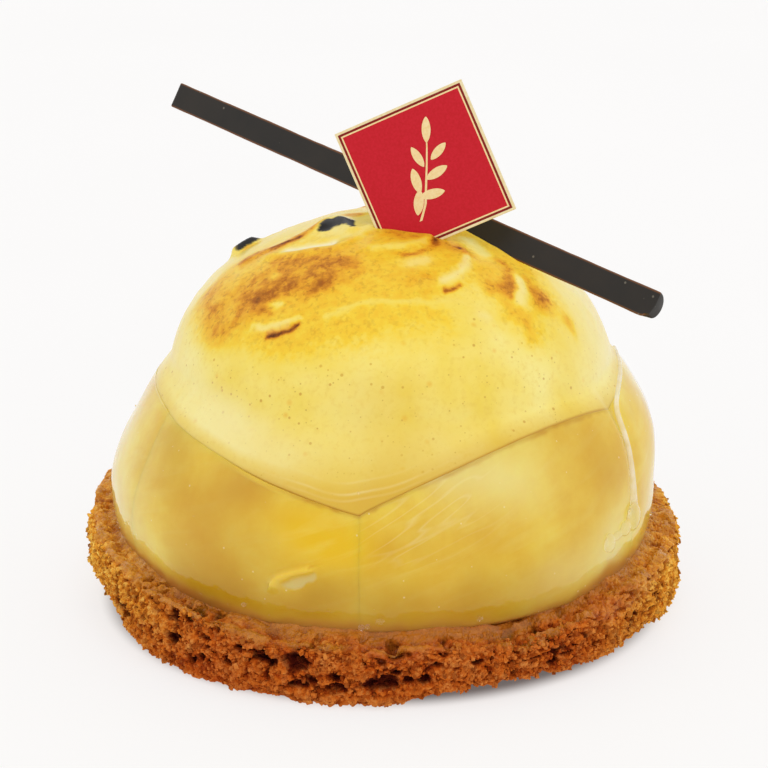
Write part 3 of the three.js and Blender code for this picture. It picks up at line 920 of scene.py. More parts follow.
STAINS = {"ripe": RIPE + back_spots(7, 0.5), "tan": TAN + back_spots(9, 0.5),
          "olive_and_low_shade": OLIVE_AND_LOW_SHADE + back_spots(7, 0.5), "pale": PALE_AND_SHEEN + back_spots(7, 0.45),
          "thread": THREADS + back_spots(4, 0.8)}
print("stains:", {name: len(spots) for name, spots in STAINS.items()})

# %% Make the six pears
FLAP = [(-14.1, 14.9), (-13.4, 15.9), (-12.1, 16.6), (-10.7, 17.2), (-9.5, 17.6)]
CUT = (-10.6, 15.7, 2.1, 1.0)  # middle x and z and half sizes of the cut face under the flap's rim
LAP = math.radians(1.6)  # neighbours run on under each other by about a millimetre, so that no gap shows
FRONT_STEPS, BACK_STEPS = 204, 124  # faces across a pear that the camera sees, and across another


def knife_flap(xyz):
    """The raised rim of the flap of flesh and the cut face under it, each from 0 to 1."""
    crease, side = from_line(xyz[:, [0, 2]], FLAP)
    front = soft(-xyz[:, 1], 30, 34)
    rim = front * np.exp(-((crease / np.where(side > 0, 0.35, 1.0)) ** 2))
    slope = 0.45 * (xyz[:, 0] - CUT[0])
    far = np.hypot((xyz[:, 0] - CUT[0]) / CUT[2], (xyz[:, 2] - CUT[1] - slope) / CUT[3])
    return rim, front * soft(far + 0.25 * lumps(xyz, 0.8, 83), 1.15, 0.75)


def half_turn(angle):
    """The same angle, from minus half a turn to half a turn."""
    return (angle + math.pi) % (2 * math.pi) - math.pi


for number, (begin, end) in enumerate(zip(SEAMS, SEAM_ENDS)):
    at_front = number in (0, len(SEAMS) - 1)
    steps = FRONT_STEPS if at_front else BACK_STEPS
    pear = bent_grid(f"pear_piece_{number + 1}", pear_rows, steps, begin - LAP, end + LAP)
    xyz = points(pear)
    angle = around(xyz)
    rim, cut = knife_flap(xyz)
    # The lip of the edge at the left is pushed out a little and, with the flap's rim, gets a painted
    # highlight.
    lit_lip = bell(angle, -117, 8) * soft(pear_top(angle) - xyz[:, 2], 0.8, 0.2)
    middle = (begin + end) / 2
    past = np.abs(half_turn(angle - middle)) - (end - begin) / 2
    out = 0.7 * rim - 0.15 * cut + 0.25 * lit_lip
    out -= 0.6 * (np.maximum(past, 0) * PEAR_RADIUS) ** 2
    xyz[:, :2] += out[:, None] * np.stack([np.cos(angle), np.sin(angle)], -1)
    put(pear, xyz)
    middle = half_turn(middle)
    paint(pear, "along_mm", 38.0 * (middle + (angle - middle + math.pi) % (2 * math.pi) - math.pi))
    paint(pear, "high_mm", xyz[:, 2])
    at_edge = soft(pear_top(angle) - xyz[:, 2] + 0.25 * lumps(xyz, 1.0, 82), 0.6, 0.1)
    paint(pear, "edge_shadow", edge_shadow(angle) * at_edge * (0.65 + 0.5 * lumps(xyz, 1.6, 88)))
    bent = xyz + 2.2 * np.stack([lumps(xyz, 7.0, seed) for seed in (84, 85, 86)], -1)
    for name, spots in STAINS.items():
        paint(pear, name, np.clip(sum(s * spot(bent, c, r) for c, r, s in spots), 0, 0.95))
    above_crumb = xyz[:, 2] - rim_height(angle) - bank_wave(angle)
    browned = 0.4 + 0.35 * bell(angle, -140, 25)
    paint(pear, "foot", soft(above_crumb + 0.9 * lumps(xyz, 4.0, 81), 4.0, 0.2))
    # Painted shade where the pear meets the crumb, stronger on the left.
    paint(pear, "brim", browned * soft(above_crumb + 0.7 * lumps(xyz, 1.8, 87), 2.4, 0.4))
    paint(pear, "cut", 0.8 * cut * (1 - rim))
    # Painted highlight on the flap's raised rim and on the lip.
    paint(pear, "rim", np.clip(0.55 * rim + 0.6 * lit_lip, 0, 1))
    pear.data.materials.append(pear_flesh)
    finish_piece(pear, "pear", f"pear_{number + 1}")

# %% [markdown]
# Cream. A dome of vanilla cream sits on the pears and flows down between their arches. A palette
# knife left folds and lips on its top, and a blowtorch browned them and burnt two peaks black.
# The dome starts as a bent grid; folds are pushed up along short lines in plan, each with its own
# width on either side, so that one side can be steep and cast a thin dark line.

# %% The cream's shape
DOME_RADIUS = 31.1
DOME_HEIGHT = 22.6
DOME_MIDDLE = 31.7  # height of its widest level
DOME_SHIFT = 1.2  # it sits this far to the right
SHOULDER = math.radians(10)
CREAM_FLOOR = 24.6
CREAM_STEPS = 580  # faces round the tart


def dome_row(lift):
    """A row of the dome at this angle above its widest level."""
    def row(angle):
        shift = DOME_SHIFT * soft(math.cos(lift), 0, 0.3)
        radius = DOME_RADIUS * math.cos(lift) + shift * np.cos(angle)
        return radius, np.full(len(angle), DOME_MIDDLE + DOME_HEIGHT * math.sin(lift))
    return row


def flare_row(t):
    """A row between the pears' edge and the dome's shoulder, on a smooth curve."""
    def row(angle):
        top = pear_top(angle)
        r0, z0 = pear_radius(angle, top) - 0.02, top - 0.06
        r1, z1 = dome_row(SHOULDER)(angle)
        reach = np.hypot(r1 - r0, z1 - z0)
        slope = np.array([-DOME_RADIUS * math.sin(SHOULDER), DOME_HEIGHT * math.cos(SHOULDER)])
        slope /= np.hypot(*slope)
        h00, h10 = 2 * t**3 - 3 * t**2 + 1, t**3 - 2 * t**2 + t
        h01, h11 = 3 * t**2 - 2 * t**3, t**3 - t**2
        out, up = (r1 - r0) * 0.85, (z1 - z0) * 1.05
        return (h00 * r0 + h10 * out + h01 * r1 + h11 * slope[0] * reach,
                h00 * z0 + h10 * up + h01 * z1 + h11 * slope[1] * reach)
    return row


cream_rows = [level_row(0.0, CREAM_FLOOR), level_row(18.0, CREAM_FLOOR)]
cream_rows += [pear_inside(5.5, 1.6), pear_inside(2.0, 0.9)]
cream_rows += [flare_row(t) for t in np.linspace(0, 1, 32)]
cream_rows += [dome_row(lift) for lift in np.linspace(SHOULDER, math.pi / 2, 122)[1:]]
cream = bent_grid("torched_cream", cream_rows, CREAM_STEPS)
print("cream grid:", len(cream.data.vertices), "points")

# %% Folds and peaks on the cream
# Each fold is a line in plan, its height, and its half width to the left and to the right of the line.
FOLDS = [
    ([(-20.3, 5.7), (-19.4, 6.1), (-18.2, 6.1)], 1.0, 0.8, 0.9),
    ([(-8.2, -2.6), (-7.3, -0.8), (-6.2, -0.5), (-5.0, -3.1), (-4.3, -6.0)], 0.6, 1.2, 0.9),
    ([(-18.6, -3.8), (-16.5, -3.9), (-14.6, -4.1), (-12.7, -3.8), (-10.6, -2.9), (-8.6, -1.4)], 0.25, 1.2,
      0.8), ([(-12.8, -6.9), (-10.9, -7.8), (-8.7, -8.2), (-6.8, -8.6)], -0.3, 0.8, 0.8),
    ([(-15.5, -6.8), (-12.5, -8.6), (-9.5, -10.0), (-7.1, -10.6), (-5.1, -9.6), (-3.4, -8.3), (-2.0, -5.2)],
      0.3, 1.3, 0.8),
    ([(-17.8, -17.6), (-16.5, -19.0), (-14.7, -20.0), (-12.8, -20.7), (-11.1, -20.8)], 0.2, 1.7, 0.4),
    ([(-14.9, -20.9), (-13.0, -21.6), (-11.4, -21.7)], -0.14, 0.35, 0.5),
    ([(-1.2, -12.0), (0.9, -11.6), (2.9, -11.3), (4.9, -10.3), (6.3, -7.9), (6.0, -5.5)], 0.32, 2.2, 0.45),
    ([(11.1, -10.5), (11.1, -12.0), (10.9, -14.1), (9.6, -16.6), (7.9, -18.5), (5.6, -19.6)], 0.3, 0.45,
      1.8),
    ([(-7.1, -22.4), (-5.2, -22.2), (-3.2, -21.7), (0.8, -21.7), (3.4, -21.6), (6.0, -21.3), (10.0, -20.4)],
      0.14, 0.5, 1.0), ([(17.6, -11.2), (18.2, -12.7), (18.4, -14.7), (18.0, -16.7)], 0.15, 1.0, 0.8),
    ([(-10.6, -25.7), (-6.7, -27.2), (-2.9, -28.3), (2.1, -27.9), (5.9, -26.9)], 0.1, 1.0, 1.0),
    ([(-2.0, 13.0), (3.5, 15.0), (9.0, 14.0)], 0.4, 0.6, 1.8),
    ([(-14.0, 13.0), (-9.0, 16.5), (-3.0, 18.5)], 0.35, 0.5, 1.8),
    ([(14.0, 3.0), (16.0, 8.0), (14.5, 13.0)], 0.35, 1.8, 0.6),
]


def fold_height(xy):
    """How far the folds stand up, in millimetres."""
    total = np.zeros(len(xy))
    for line, tall, left, right in FOLDS:
        far, side = from_line(xy, line)
        total += tall * np.exp(-((far / np.where(side > 0, left, right)) ** 2))
    return total


xyz = points(cream)
top = soft(xyz[:, 2], 36.0, 43.0)
wander = np.stack([lumps(xyz, 2.4, 51), lumps(xyz, 2.4, 52)], -1) * 0.25
rise = 0.25 * (0.35 + 0.65 * top) * lumps(xyz, 6.5, 50) + top * 0.07 * lumps(xyz, 2.0, 53)
rise += top * fold_height(xyz[:, :2] + wander)
rise[xyz[:, 2] < pear_top(around(xyz)) - 0.1] = 0
put(cream, xyz + normals(cream) * rise[:, None])
print("cream relief up to", rise.max().round(2), "mm")

# %% [markdown]
# The torch colours the cream from straw yellow through gold and brown to black, in soft mottled
# patches. They are written down as brush strokes in plan, each with a width and a strength, broken
# up by noise, and kept on the mesh as one number per point. Light strokes take the colour off again:
# partly cream the torch missed, partly a painted highlight along fold crests. Some dark strokes are
# painted shadow under folds and in slits, and the lens strokes are painted highlights.

# %% Where the torch passed
# Each stroke is a bent line in plan, or a single point, its half width in millimetres and its strength.
GOLD = [
    ([(-17.0, -9.0), (-10.0, -14.0), (-4.0, -14.0)], 8.5, 0.3),
    ([(-22.5, -6.0), (-21.0, -15.0)], 4.0, 0.18),
    ([(-15.0, -21.0), (-3.0, -23.0), (6.0, -22.3)], 3.6, 0.13),
    ([(-14.0, -23.5), (0.0, -25.8), (7.0, -25.0)], 3.0, 0.06), ([(0.0, -15.0), (6.0, -18.0)], 4.5, 0.14),
    ([(2.0, -7.6), (9.0, -9.6)], 5.0, 0.2), ([(6.0, -3.0), (12.0, -6.0), (18.0, -9.0)], 2.6, 0.22),
    ([(13.0, -13.0), (21.0, -13.0)], 5.0, 0.2), ([(17.0, -18.7), (19.1, -19.4)], 2.6, 0.17),
    ([(0.0, 12.0), (-10.0, 14.0), (13.0, 9.0)], 9.0, 0.25),
]
BROWN = [
    ([(-17.0, -15.3), (-13.4, -16.6), (-9.8, -16.6), (-6.7, -16.2), (-4.6, -15.2)], 2.4, 0.14),
    ([(-16.5, -12.5), (-12.0, -13.8), (-6.5, -14.3)], 3.0, 0.17),
    ([(-14.6, -9.4), (-12.0, -11.4), (-9.0, -12.6), (-6.0, -13.2)], 2.2, 0.14),
    ([(-17.3, -14.5), (-15.9, -16.1)], 1.7, 0.22), ([(-9.5, -18.0), (-7.4, -17.6)], 1.6, 0.16),
    ([(-20.0, -11.0), (-17.5, -17.0)], 3.0, 0.08),
    ([(-23.6, -4.6), (-23.1, -8.5), (-22.6, -12.2), (-21.2, -15.8)], 1.5, 0.2),
    ([(-18.6, -3.8), (-16.5, -3.9), (-14.6, -4.1), (-12.7, -3.8), (-10.6, -2.9), (-8.6, -1.4)], 1.0, 0.36),
    ([(-19.4, 4.2), (-17.6, 3.6)], 0.8, 0.4), ([(1.2, -7.6), (2.8, -8.2), (4.7, -7.4)], 1.5, 0.16),
    ([(2.2, -13.0), (3.8, -12.9), (5.4, -11.9), (6.6, -10.2)], 0.6, 0.3),
    ([(7.0, -8.8), (8.9, -9.6), (10.5, -10.2)], 1.2, 0.24),
    ([(15.6, -9.5), (16.2, -11.0), (16.5, -13.0)], 0.9, 0.24),
    ([(14.4, -15.8), (15.6, -15.3), (16.8, -14.7)], 1.3, 0.44),
    ([(19.8, -13.1), (20.8, -13.2), (21.4, -13.6)], 1.2, 0.42), ([(20.6, -14.8)], 1.4, 0.26),
    ([(25.0, -13.4), (25.3, -14.2)], 0.9, 0.2), ([(17.0, -18.9), (18.3, -19.1)], 1.4, 0.14),
    ([(-4.3, 1.1), (-3.5, 2.0)], 1.0, 0.45), ([(4.4, -17.6), (6.1, -18.1)], 1.8, 0.1),
    ([(-2.0, 12.0), (4.0, 13.6), (9.0, 12.6)], 2.2, 0.3), ([(-13.0, 12.0), (-8.0, 15.0)], 2.4, 0.3),
    ([(14.0, 5.0), (15.0, 9.0)], 2.0, 0.32), ([(-3.0, 21.0), (6.0, 21.0)], 2.5, 0.22),
]
# Darkest torch marks, and painted shadow lines under some folds and in slits.
DARK_AND_FOLD_SHADOW = [
    ([(-14.8, -4.2), (-13.1, -4.2), (-11.3, -3.9)], 0.45, 0.45),
    ([(-13.9, -15.4), (-12.2, -16.2)], 0.8, 0.16), ([(-15.6, -17.7), (-14.8, -18.4)], 0.6, 0.24),
    ([(-12.0, -14.6), (-11.0, -15.5)], 0.8, 0.1), ([(-9.5, -18.2), (-7.6, -17.9)], 0.7, 0.1),
    ([(-14.9, -21.0), (-13.0, -21.7), (-12.0, -21.9), (-11.2, -21.8)], 0.3, 0.8),
    ([(6.8, -8.1), (7.0, -9.6)], 0.5, 0.55), ([(10.1, -9.9)], 0.35, 0.6),
    ([(7.9, -19.4), (9.1, -18.6), (10.1, -17.5)], 0.26, 0.6), ([(16.3, -15.6), (16.7, -16.4)], 0.6, 0.25),
    ([(21.0, -13.4)], 0.7, 0.2), ([(-14.6, -8.7), (-12.4, -10.0), (-10.0, -11.3), (-7.3, -12.6)], 0.7, 0.1),
    ([(-17.3, -14.5), (-16.4, -15.6)], 0.7, 0.12), ([(-2.0, 12.4), (3.0, 13.6)], 0.6, 0.3),
    ([(14.6, 6.0), (15.0, 8.6)], 0.6, 0.3),
]
# Unbrowned cream, and painted highlights along the crests of folds.
LIGHT_AND_CREST_HIGHLIGHT = [
    ([(-12.8, -6.9), (-10.9, -7.8), (-8.7, -8.2), (-6.8, -8.6)], 0.8, 0.5), ([(-14.4, -12.5)], 0.9, 0.25),
    ([(-14.5, -17.5), (-13.3, -17.9)], 0.7, 0.3),
    ([(-17.2, -18.9), (-14.7, -20.4), (-12.8, -21.1), (-10.6, -21.2)], 0.3, 0.22),
    ([(-7.1, -22.4), (-5.2, -22.2), (-3.2, -21.7), (0.8, -21.7), (3.4, -21.6), (6.0, -21.3), (10.0, -20.6)],
      0.5, 0.22), ([(3.6, -15.1), (5.5, -14.4)], 1.1, 0.2),
    ([(11.0, -12.2), (10.8, -14.0), (9.5, -16.4), (7.8, -18.3)], 0.6, 0.35),
    ([(11.4, -6.1), (12.5, -7.4), (13.3, -9.2)], 1.2, 0.35),
    ([(18.2, -12.7), (18.4, -14.7), (18.0, -16.7)], 0.8, 0.4), ([(12.5, -21.1), (13.5, -21.0)], 0.8, 0.2),
    ([(-1.2, -12.0), (2.9, -11.3), (5.0, -10.2), (6.2, -8.0)], 0.7, 0.2),
    ([(-6.0, -4.6), (-4.9, -7.6)], 0.9, 0.25), ([(-3.2, -8.0), (-2.0, -5.4)], 0.9, 0.2),
]
CHAR = [
    ([(-20.2, 5.5), (-19.2, 5.8), (-18.0, 5.9)], 1.1, 1.2),
    ([(-7.9, -3.4), (-6.8, -2.1), (-5.8, -2.1), (-5.0, -3.0)], 1.25, 1.2),
    ([(-4.8, -3.2), (-4.2, -5.4)], 0.7, 1.0),
]
# Painted highlights: pale, nearly white lenses in the hollows and on the crests of folds.
LENS_HIGHLIGHTS = [
    ([(-12.8, -6.9), (-10.9, -7.8), (-8.7, -8.2), (-6.8, -8.6)], 0.6, 0.9),
    ([(18.2, -12.7), (18.4, -14.7), (18.0, -16.7)], 0.6, 0.15),
    ([(11.0, -12.2), (10.8, -14.0), (9.5, -16.4), (7.8, -18.3)], 0.45, 0.2),
    ([(-16.5, -19.5), (-14.7, -20.5), (-12.4, -21.2)], 0.25, 0.2),
    ([(3.6, -15.1), (5.5, -14.4)], 1.0, 0.15), ([(12.5, -21.1), (13.5, -21.0)], 0.6, 0.2),
]
print("torch strokes:", sum(len(marks) for marks in (GOLD, BROWN, DARK_AND_FOLD_SHADOW, LIGHT_AND_CREST_HIGHLIGHT, CHAR, LENS_HIGHLIGHTS)))

# %% Paint the strokes on the cream
# Top of the amber band over the pears' edge: angle in degrees, height in millimetres.
ARC = [
    (-180, 0.3), (-140, 0.3), (-125, 0.5), (-112, 1.0), (-100, 1.5), (-92, 1.6), (-84, 1.3), (-75, 1.2),
    (-60, 0.9), (-45, 0.6), (-30, 0.3), (180, 0.3),
]
xyz = points(cream)
coarse = xyz[:, :2] + 0.8 * np.stack([lumps(xyz, 3.0, 61), lumps(xyz, 3.0, 62)], -1)
fine = xyz[:, :2] + 0.22 * np.stack([lumps(xyz, 1.1, 65), lumps(xyz, 1.1, 66)], -1)
broken = 1 + 0.3 * lumps(xyz, 2.6, 63) + 0.2 * lumps(xyz, 1.2, 64)
torch = np.minimum(0.75 * strokes(coarse, GOLD), 0.2)
torch = torch + np.minimum(0.8 * strokes(coarse, BROWN), 0.27) * broken
# Dark strokes add scorch and painted shadow; light strokes take colour off as untorched cream and painted
# highlight.
torch += 0.8 * strokes(fine, DARK_AND_FOLD_SHADOW) - 0.8 * strokes(fine, LIGHT_AND_CREST_HIGHLIGHT) * soft(torch, 0.0, 0.3)
torch *= soft(xyz[:, 2], 37.5, 42.5)
char = soft(strokes(fine, CHAR) + 0.2 * lumps(xyz, 0.8, 67), 0.5, 0.8) * soft(xyz[:, 2], 43, 45)
angle = around(xyz)
above = xyz[:, 2] - pear_top(angle)
turns = np.radians(np.linspace(-9, 9, 13))
rounded = xyz[:, 2] - sum(pear_top(angle + turn) for turn in turns) / len(turns)
arc = np.interp(np.degrees(angle), *zip(*ARC)) + 0.25 * lumps(xyz, 5.0, 68)
paint(cream, "torch", np.clip(torch, 0, 1))
paint(cream, "char", np.clip(char, 0, 1))
paint(cream, "lens", np.clip(strokes(fine, LENS_HIGHLIGHTS), 0, 1) * soft(xyz[:, 2], 40, 43))
paint(cream, "arc_mm", rounded - arc)
paint(cream, "edge_shadow", edge_shadow(angle) * soft(above, 0.3, 0.05))
paint(cream, "warm", 0.6 * soft(above, 8.0, 1.5) * bell(angle, -95, 24)
      + 0.35 * soft(xyz[:, 2], 43, 38) * bell(angle, -90, 12))
paint(cream, "vee", bell(angle, -97, 17) * np.clip(0.65 + 0.6 * lumps(xyz, 3.5, 69), 0, 1))
# Paler cream near the pears at the left, and painted light high on the right shoulder.
paint(cream, "pale_and_painted_light", 0.6 * soft(above, 8.0, 3.5) * soft(rounded - arc, 0.2, 1.4) * bell(angle, -130, 20)
      + 0.4 * soft(xyz[:, 2], 51, 45) * soft(above, 0.5, 3) * bell(angle, -18, 15))
print("browned share of the cream:", (torch > 0.25).mean().round(3), "burnt:", (char > 0.5).mean().round(4))

# %% [markdown]
# Cooked vanilla cream is a pale, dense yellow with tiny dark vanilla seeds, glossy where the glaze
# covers it and duller where the torch dried it. The ramp goes through the colours of burning sugar,
# and brown specks lie thickest where the torch stayed longest.

# %% Cream material
# Amber spots, vanilla seeds and their dust: spacing in millimetres, softness, strength, colour.
SPECKLES = [(3.0, 0.2, 0.7, "#e8a81c"), (1.3, 0.06, 0.6, "#c08018"), (0.7, 0.08, 0.55, "#b4862c")]
# Painted highlights: pale lines along the amber band, where the glaze's edges would catch the light.
GLAZE_HIGHLIGHT_LINES = [(0.0, 0.42), (-0.7, 0.22), (1.2, 0.2)]  # pale lines along the band: height in it, strength
cream_set, tree, shader = start_material("vanilla_cream_torched")
value = {name: attribute(tree, name) for name in (
    "torch", "char", "lens", "edge_shadow", "arc_mm", "warm", "vee", "pale_and_painted_light")}
place = object_place(tree)
drift = noise(tree, place, 9 * MM, Detail=5.0)
specks = noise(tree, place, 0.75 * MM, Detail=3.0, Roughness=0.6)
mottle = noise(tree, place, 1.3 * MM, Detail=3.0, Roughness=0.6)
ground = shades(tree, drift, (0.3, "#f0d456"), (0.5, "#f4de74"), (0.7, "#f6e68c"))
colour = washes(tree, ground, (stretch(tree, specks, 0.5, 0.72, 0.3), "#e2bc48"))
for size, edge, strength, tone in SPECKLES:
    from_seed, seed = cells(tree, place, size * MM)
    inside = reckon(tree, "SUBTRACT", stretch(tree, seed, 0.05, 1.0, 0.2), from_seed)
    colour = washes(tree, colour, (stretch(tree, inside, 0.0, edge, strength), tone))
# The pale wash is partly painted light on the right shoulder.
colour = washes(tree, colour, (value["pale_and_painted_light"], "#f6ecb0"), (times(tree, value["warm"], 0.95), "#e0ba40"),
                (stretch(tree, value["arc_mm"], 1.4, -0.8, 0.6), "#d8a830"))
for height, strength in GLAZE_HIGHLIGHT_LINES:
    far = reckon(tree, "ABSOLUTE", reckon(tree, "SUBTRACT", value["arc_mm"], height))
    glaze_highlight = stretch(tree, far, 0.22, 0.0, strength)
    colour = washes(tree, colour, (times(tree, glaze_highlight, value["vee"]), "#f2e3a0"))
# the thin painted shadow line on the cream where it meets the pears
colour = washes(tree, colour, (value["edge_shadow"], "#c48016"))
toast = times(tree, value["torch"], stretch(tree, mottle, 0.35, 0.65, 1.22, 0.78))
browning = shades(tree, toast, (0.0, "#f4da4c"), (0.14, "#f4d038"), (0.28, "#eeb828"), (0.42, "#de9822"),
                  (0.58, "#b87018"), (0.78, "#7a4214"), (1.0, "#3c1c0c"))
colour = blend(tree, stretch(tree, toast, 0.0, 0.16), colour, browning)
scorch = stretch(tree, value["torch"], 0.06, 0.5, 0.65)
dots = times(tree, stretch(tree, specks, 0.52, 0.66), scorch)
# The lens strokes are painted highlights.
colour = washes(tree, colour, (dots, "#a2520c"), (value["lens"], "#f8eec4"), (value["char"], "#14100e"))
set_sockets(tree, shader, {
    "Base Color": colour, "Normal": bump(tree, mottle, 0.1, 0.2 * MM), "Roughness": 0.5,
    "Specular IOR Level": 0.1, "Subsurface Weight": 0.2, "Subsurface Scale": 1.6 * MM,
    "Subsurface Radius": (1.0, 0.7, 0.3), "Coat Weight": stretch(tree, toast, 0.0, 0.4, 0.15, 0.8),
    "Coat Roughness": 0.2, "Coat IOR": 1.36})
cream.data.materials.append(cream_set)
finish_piece(cream, "cream", "cream")

# %% [markdown]
# Chocolate stick. It was cast in a half-round mould, so it has one flat face and a round back, with
# a satin skin, thin lit edges and a dusting of specks. A cylinder is cut in half lengthwise with
# bisect, its edges are bevelled and one end gets a small chip.

# %% Chocolate stick
STICK_FROM, STICK_TO = Vector((-31.1, 31.35, 65.6)), Vector((35.0, -20.7, 47.2))
STICK_FACES = Vector((0, -0.975, 0.22))  # the way its flat face looks
STICK_WIDTH, STICK_DEPTH, STICK_EDGE = 3.85, 2.5, 0.22
STICK_SLICES = 122
ACROSS_SLICES = (-1.75, -1.6, -1.4, 0.0, 1.4, 1.6, 1.75)
length = (STICK_TO - STICK_FROM).length


def slice_piece(piece, axis, places):
    """Cut a piece's faces at these places along an axis, in millimetres, and keep both sides."""
    only(piece)
    for place in places:
        bpy.ops.object.mode_set(mode="EDIT")
        bpy.ops.mesh.select_all(action="SELECT")
        bpy.ops.mesh.bisect(plane_co=axis * (place * MM), plane_no=axis)
        bpy.ops.object.mode_set(mode="OBJECT")


only()
bpy.ops.mesh.primitive_cylinder_add(vertices=64, radius=STICK_WIDTH / 2 * MM, depth=length * MM)
stick = bpy.context.object
stick.name = stick.data.name = "chocolate_baton"
bpy.ops.object.mode_set(mode="EDIT")
bpy.ops.mesh.select_all(action="SELECT")
bpy.ops.mesh.bisect(plane_co=(0, 0, 0), plane_no=(0, 1, 0), use_fill=True, clear_outer=True)
bpy.ops.object.mode_set(mode="OBJECT")
xyz = points(stick)
xyz[:, 1] *= STICK_DEPTH / (STICK_WIDTH / 2)
put(stick, xyz)
bevel = stick.modifiers.new("edges", "BEVEL")
bevel.width = STICK_EDGE * MM
bevel.segments = 4
bevel.limit_method = "ANGLE"
bevel.angle_limit = math.radians(40)
only(stick)
bpy.ops.object.modifier_apply(modifier="edges")
slice_piece(stick, Vector((0, 0, 1)), np.linspace(-length / 2, length / 2, STICK_SLICES)[1:-1])
slice_piece(stick, Vector((1, 0, 0)), ACROSS_SLICES)
xyz = points(stick)
# near_edge marks the edges of the flat face; it roughens them a little and carries their painted highlight.
near_edge = soft(np.abs(xyz[:, 0]), STICK_WIDTH / 2 - 0.3, STICK_WIDTH / 2 - 0.12) * soft(xyz[:, 1], -0.5, -0.1)
xyz += normals(stick) * (0.03 * lumps(xyz, 6.0, 71) + 0.02 * lumps(xyz, 1.5, 72) * (0.4 + near_edge))[:, None]
chip = spot(xyz, (-STICK_WIDTH / 2, 0.0, length / 2), (0.55, 0.9, 0.8))
xyz[:, 2] -= 0.9 * chip
xyz[:, 0] += 0.35 * chip
along = (STICK_TO - STICK_FROM).normalized()
across = STICK_FACES.cross(along).normalized()
turn = np.array([across, along.cross(across), along])
put(stick, xyz @ turn + np.array((STICK_FROM + STICK_TO) / 2))
paint(stick, "near_edge", near_edge)
only(stick)
bpy.ops.object.shade_smooth_by_angle(angle=math.radians(35))
print("stick length", round(length, 1), "mm")

# %% [markdown]
# Tempered dark chocolate is an almost black brown with a satin skin; a brown painted highlight runs along
# the edges of its flat face.
# In a light tent so thin a stick throws no shadow that can be seen, so it is told to throw none.

# %% Chocolate material
chocolate, tree, shader = start_material("tempered_dark_chocolate")
place = object_place(tree)
bloom = noise(tree, place, 6 * MM, Detail=4.0)
ground = shades(tree, bloom, (0.35, "#1a150d"), (0.65, "#241d14"))
dust = add(tree, "TexVoronoi", {"Vector": place, "Scale": 1 / (2.2 * MM)}).outputs["Distance"]
# A brown painted highlight along the edges of the flat face.
colour = washes(tree, ground, (attribute(tree, "near_edge"), "#70421a"),
                (stretch(tree, dust, 0.09, 0.05, 0.5), "#8a8272"))
set_sockets(tree, shader, {"Base Color": colour, "Roughness": stretch(tree, bloom, 0.0, 1.0, 0.52, 0.4),
                           "Normal": bump(tree, bloom, 0.05, 0.2 * MM), "IOR": 1.45})
stick.data.materials.append(chocolate)
stick.visible_shadow = stick.visible_diffuse = False
finish_piece(stick, "chocolate", "chocolate_stick")

# %% [markdown]
# Card. A square of stiff gilt board, printed crimson with a double border, stuck in the cream on one
# corner. Each border line is its own ring of faces, made by insetting the front again and again,
# so the lines stay crisp at any distance.

# %% Card board
CARD_SIDE, CARD_THICK, CARD_EDGE = 18.6, 0.6, 0.06
CARD_CENTRE = Vector((5.6, -6.1, 61.75))
CARD_AWAY, CARD_LEAN, CARD_TWIST = -10, 6, 24.9  # degrees: turned away, leaning back, turned on its face
CARD_TURN = (Matrix.Rotation(math.radians(CARD_AWAY), 3, "Z")
             @ Matrix.Rotation(math.radians(90 - CARD_LEAN), 3, "X")
             @ Matrix.Rotation(math.radians(CARD_TWIST), 3, "Z"))


def on_card(xyz):
    """Turn and move points of the flat card to where it stands."""
    return xyz @ np.array(CARD_TURN).T + np.array(CARD_CENTRE)


only()
bpy.ops.mesh.primitive_cube_add(size=1.0)
card = bpy.context.object
card.name = card.data.name = "printed_card"
put(card, points(card) * MM * np.array([CARD_SIDE, CARD_SIDE, CARD_THICK]))
bpy.ops.object.mode_set(mode="EDIT")
bpy.ops.mesh.select_all(action="SELECT")
bpy.ops.mesh.bevel(offset=CARD_EDGE * MM, segments=2, affect="EDGES")
bpy.ops.object.mode_set(mode="OBJECT")
print("card", CARD_SIDE, "mm square")

# %% Card materials
# Gilt board: paper with a bright metal film, so it shines warm and takes soft reflections.
gilt, tree, shader = start_material("gilt_card_board")
nap = noise(tree, object_place(tree), 0.5 * MM, Detail=2.0)
set_sockets(tree, shader, {"Base Color": shades(tree, nap, (0.35, "#ead59c"), (0.65, "#f3e3b4")),
                           "Roughness": stretch(tree, nap, 0.0, 1.0, 0.45, 0.28), "Metallic": 0.35})


def printed(name, dark, light, gloss):
    """Ink on the coated board: two close shades and a soft sheen."""
    material, tree, shader = start_material(name)
    nap = noise(tree, object_place(tree), 0.35 * MM, Detail=3.0)
    set_sockets(tree, shader, {"Base Color": shades(tree, nap, (0.35, dark), (0.65, light)),
                               "Roughness": stretch(tree, nap, 0.0, 1.0, gloss + 0.12, gloss),
                               "Specular IOR Level": 0.2})
    return material


crimson = printed("crimson_ink_on_board", "#c21422", "#ca1a2b", 0.45)
dark_line = printed("dark_red_ink_line", "#7c150e", "#8a1c12", 0.45)
gold_line = printed("pale_gold_ink_line", "#efd090", "#f5dda6", 0.4)
for finish in (gilt, crimson, dark_line, gold_line):
    card.data.materials.append(finish)
print("card finishes:", [m.name for m in card.data.materials])

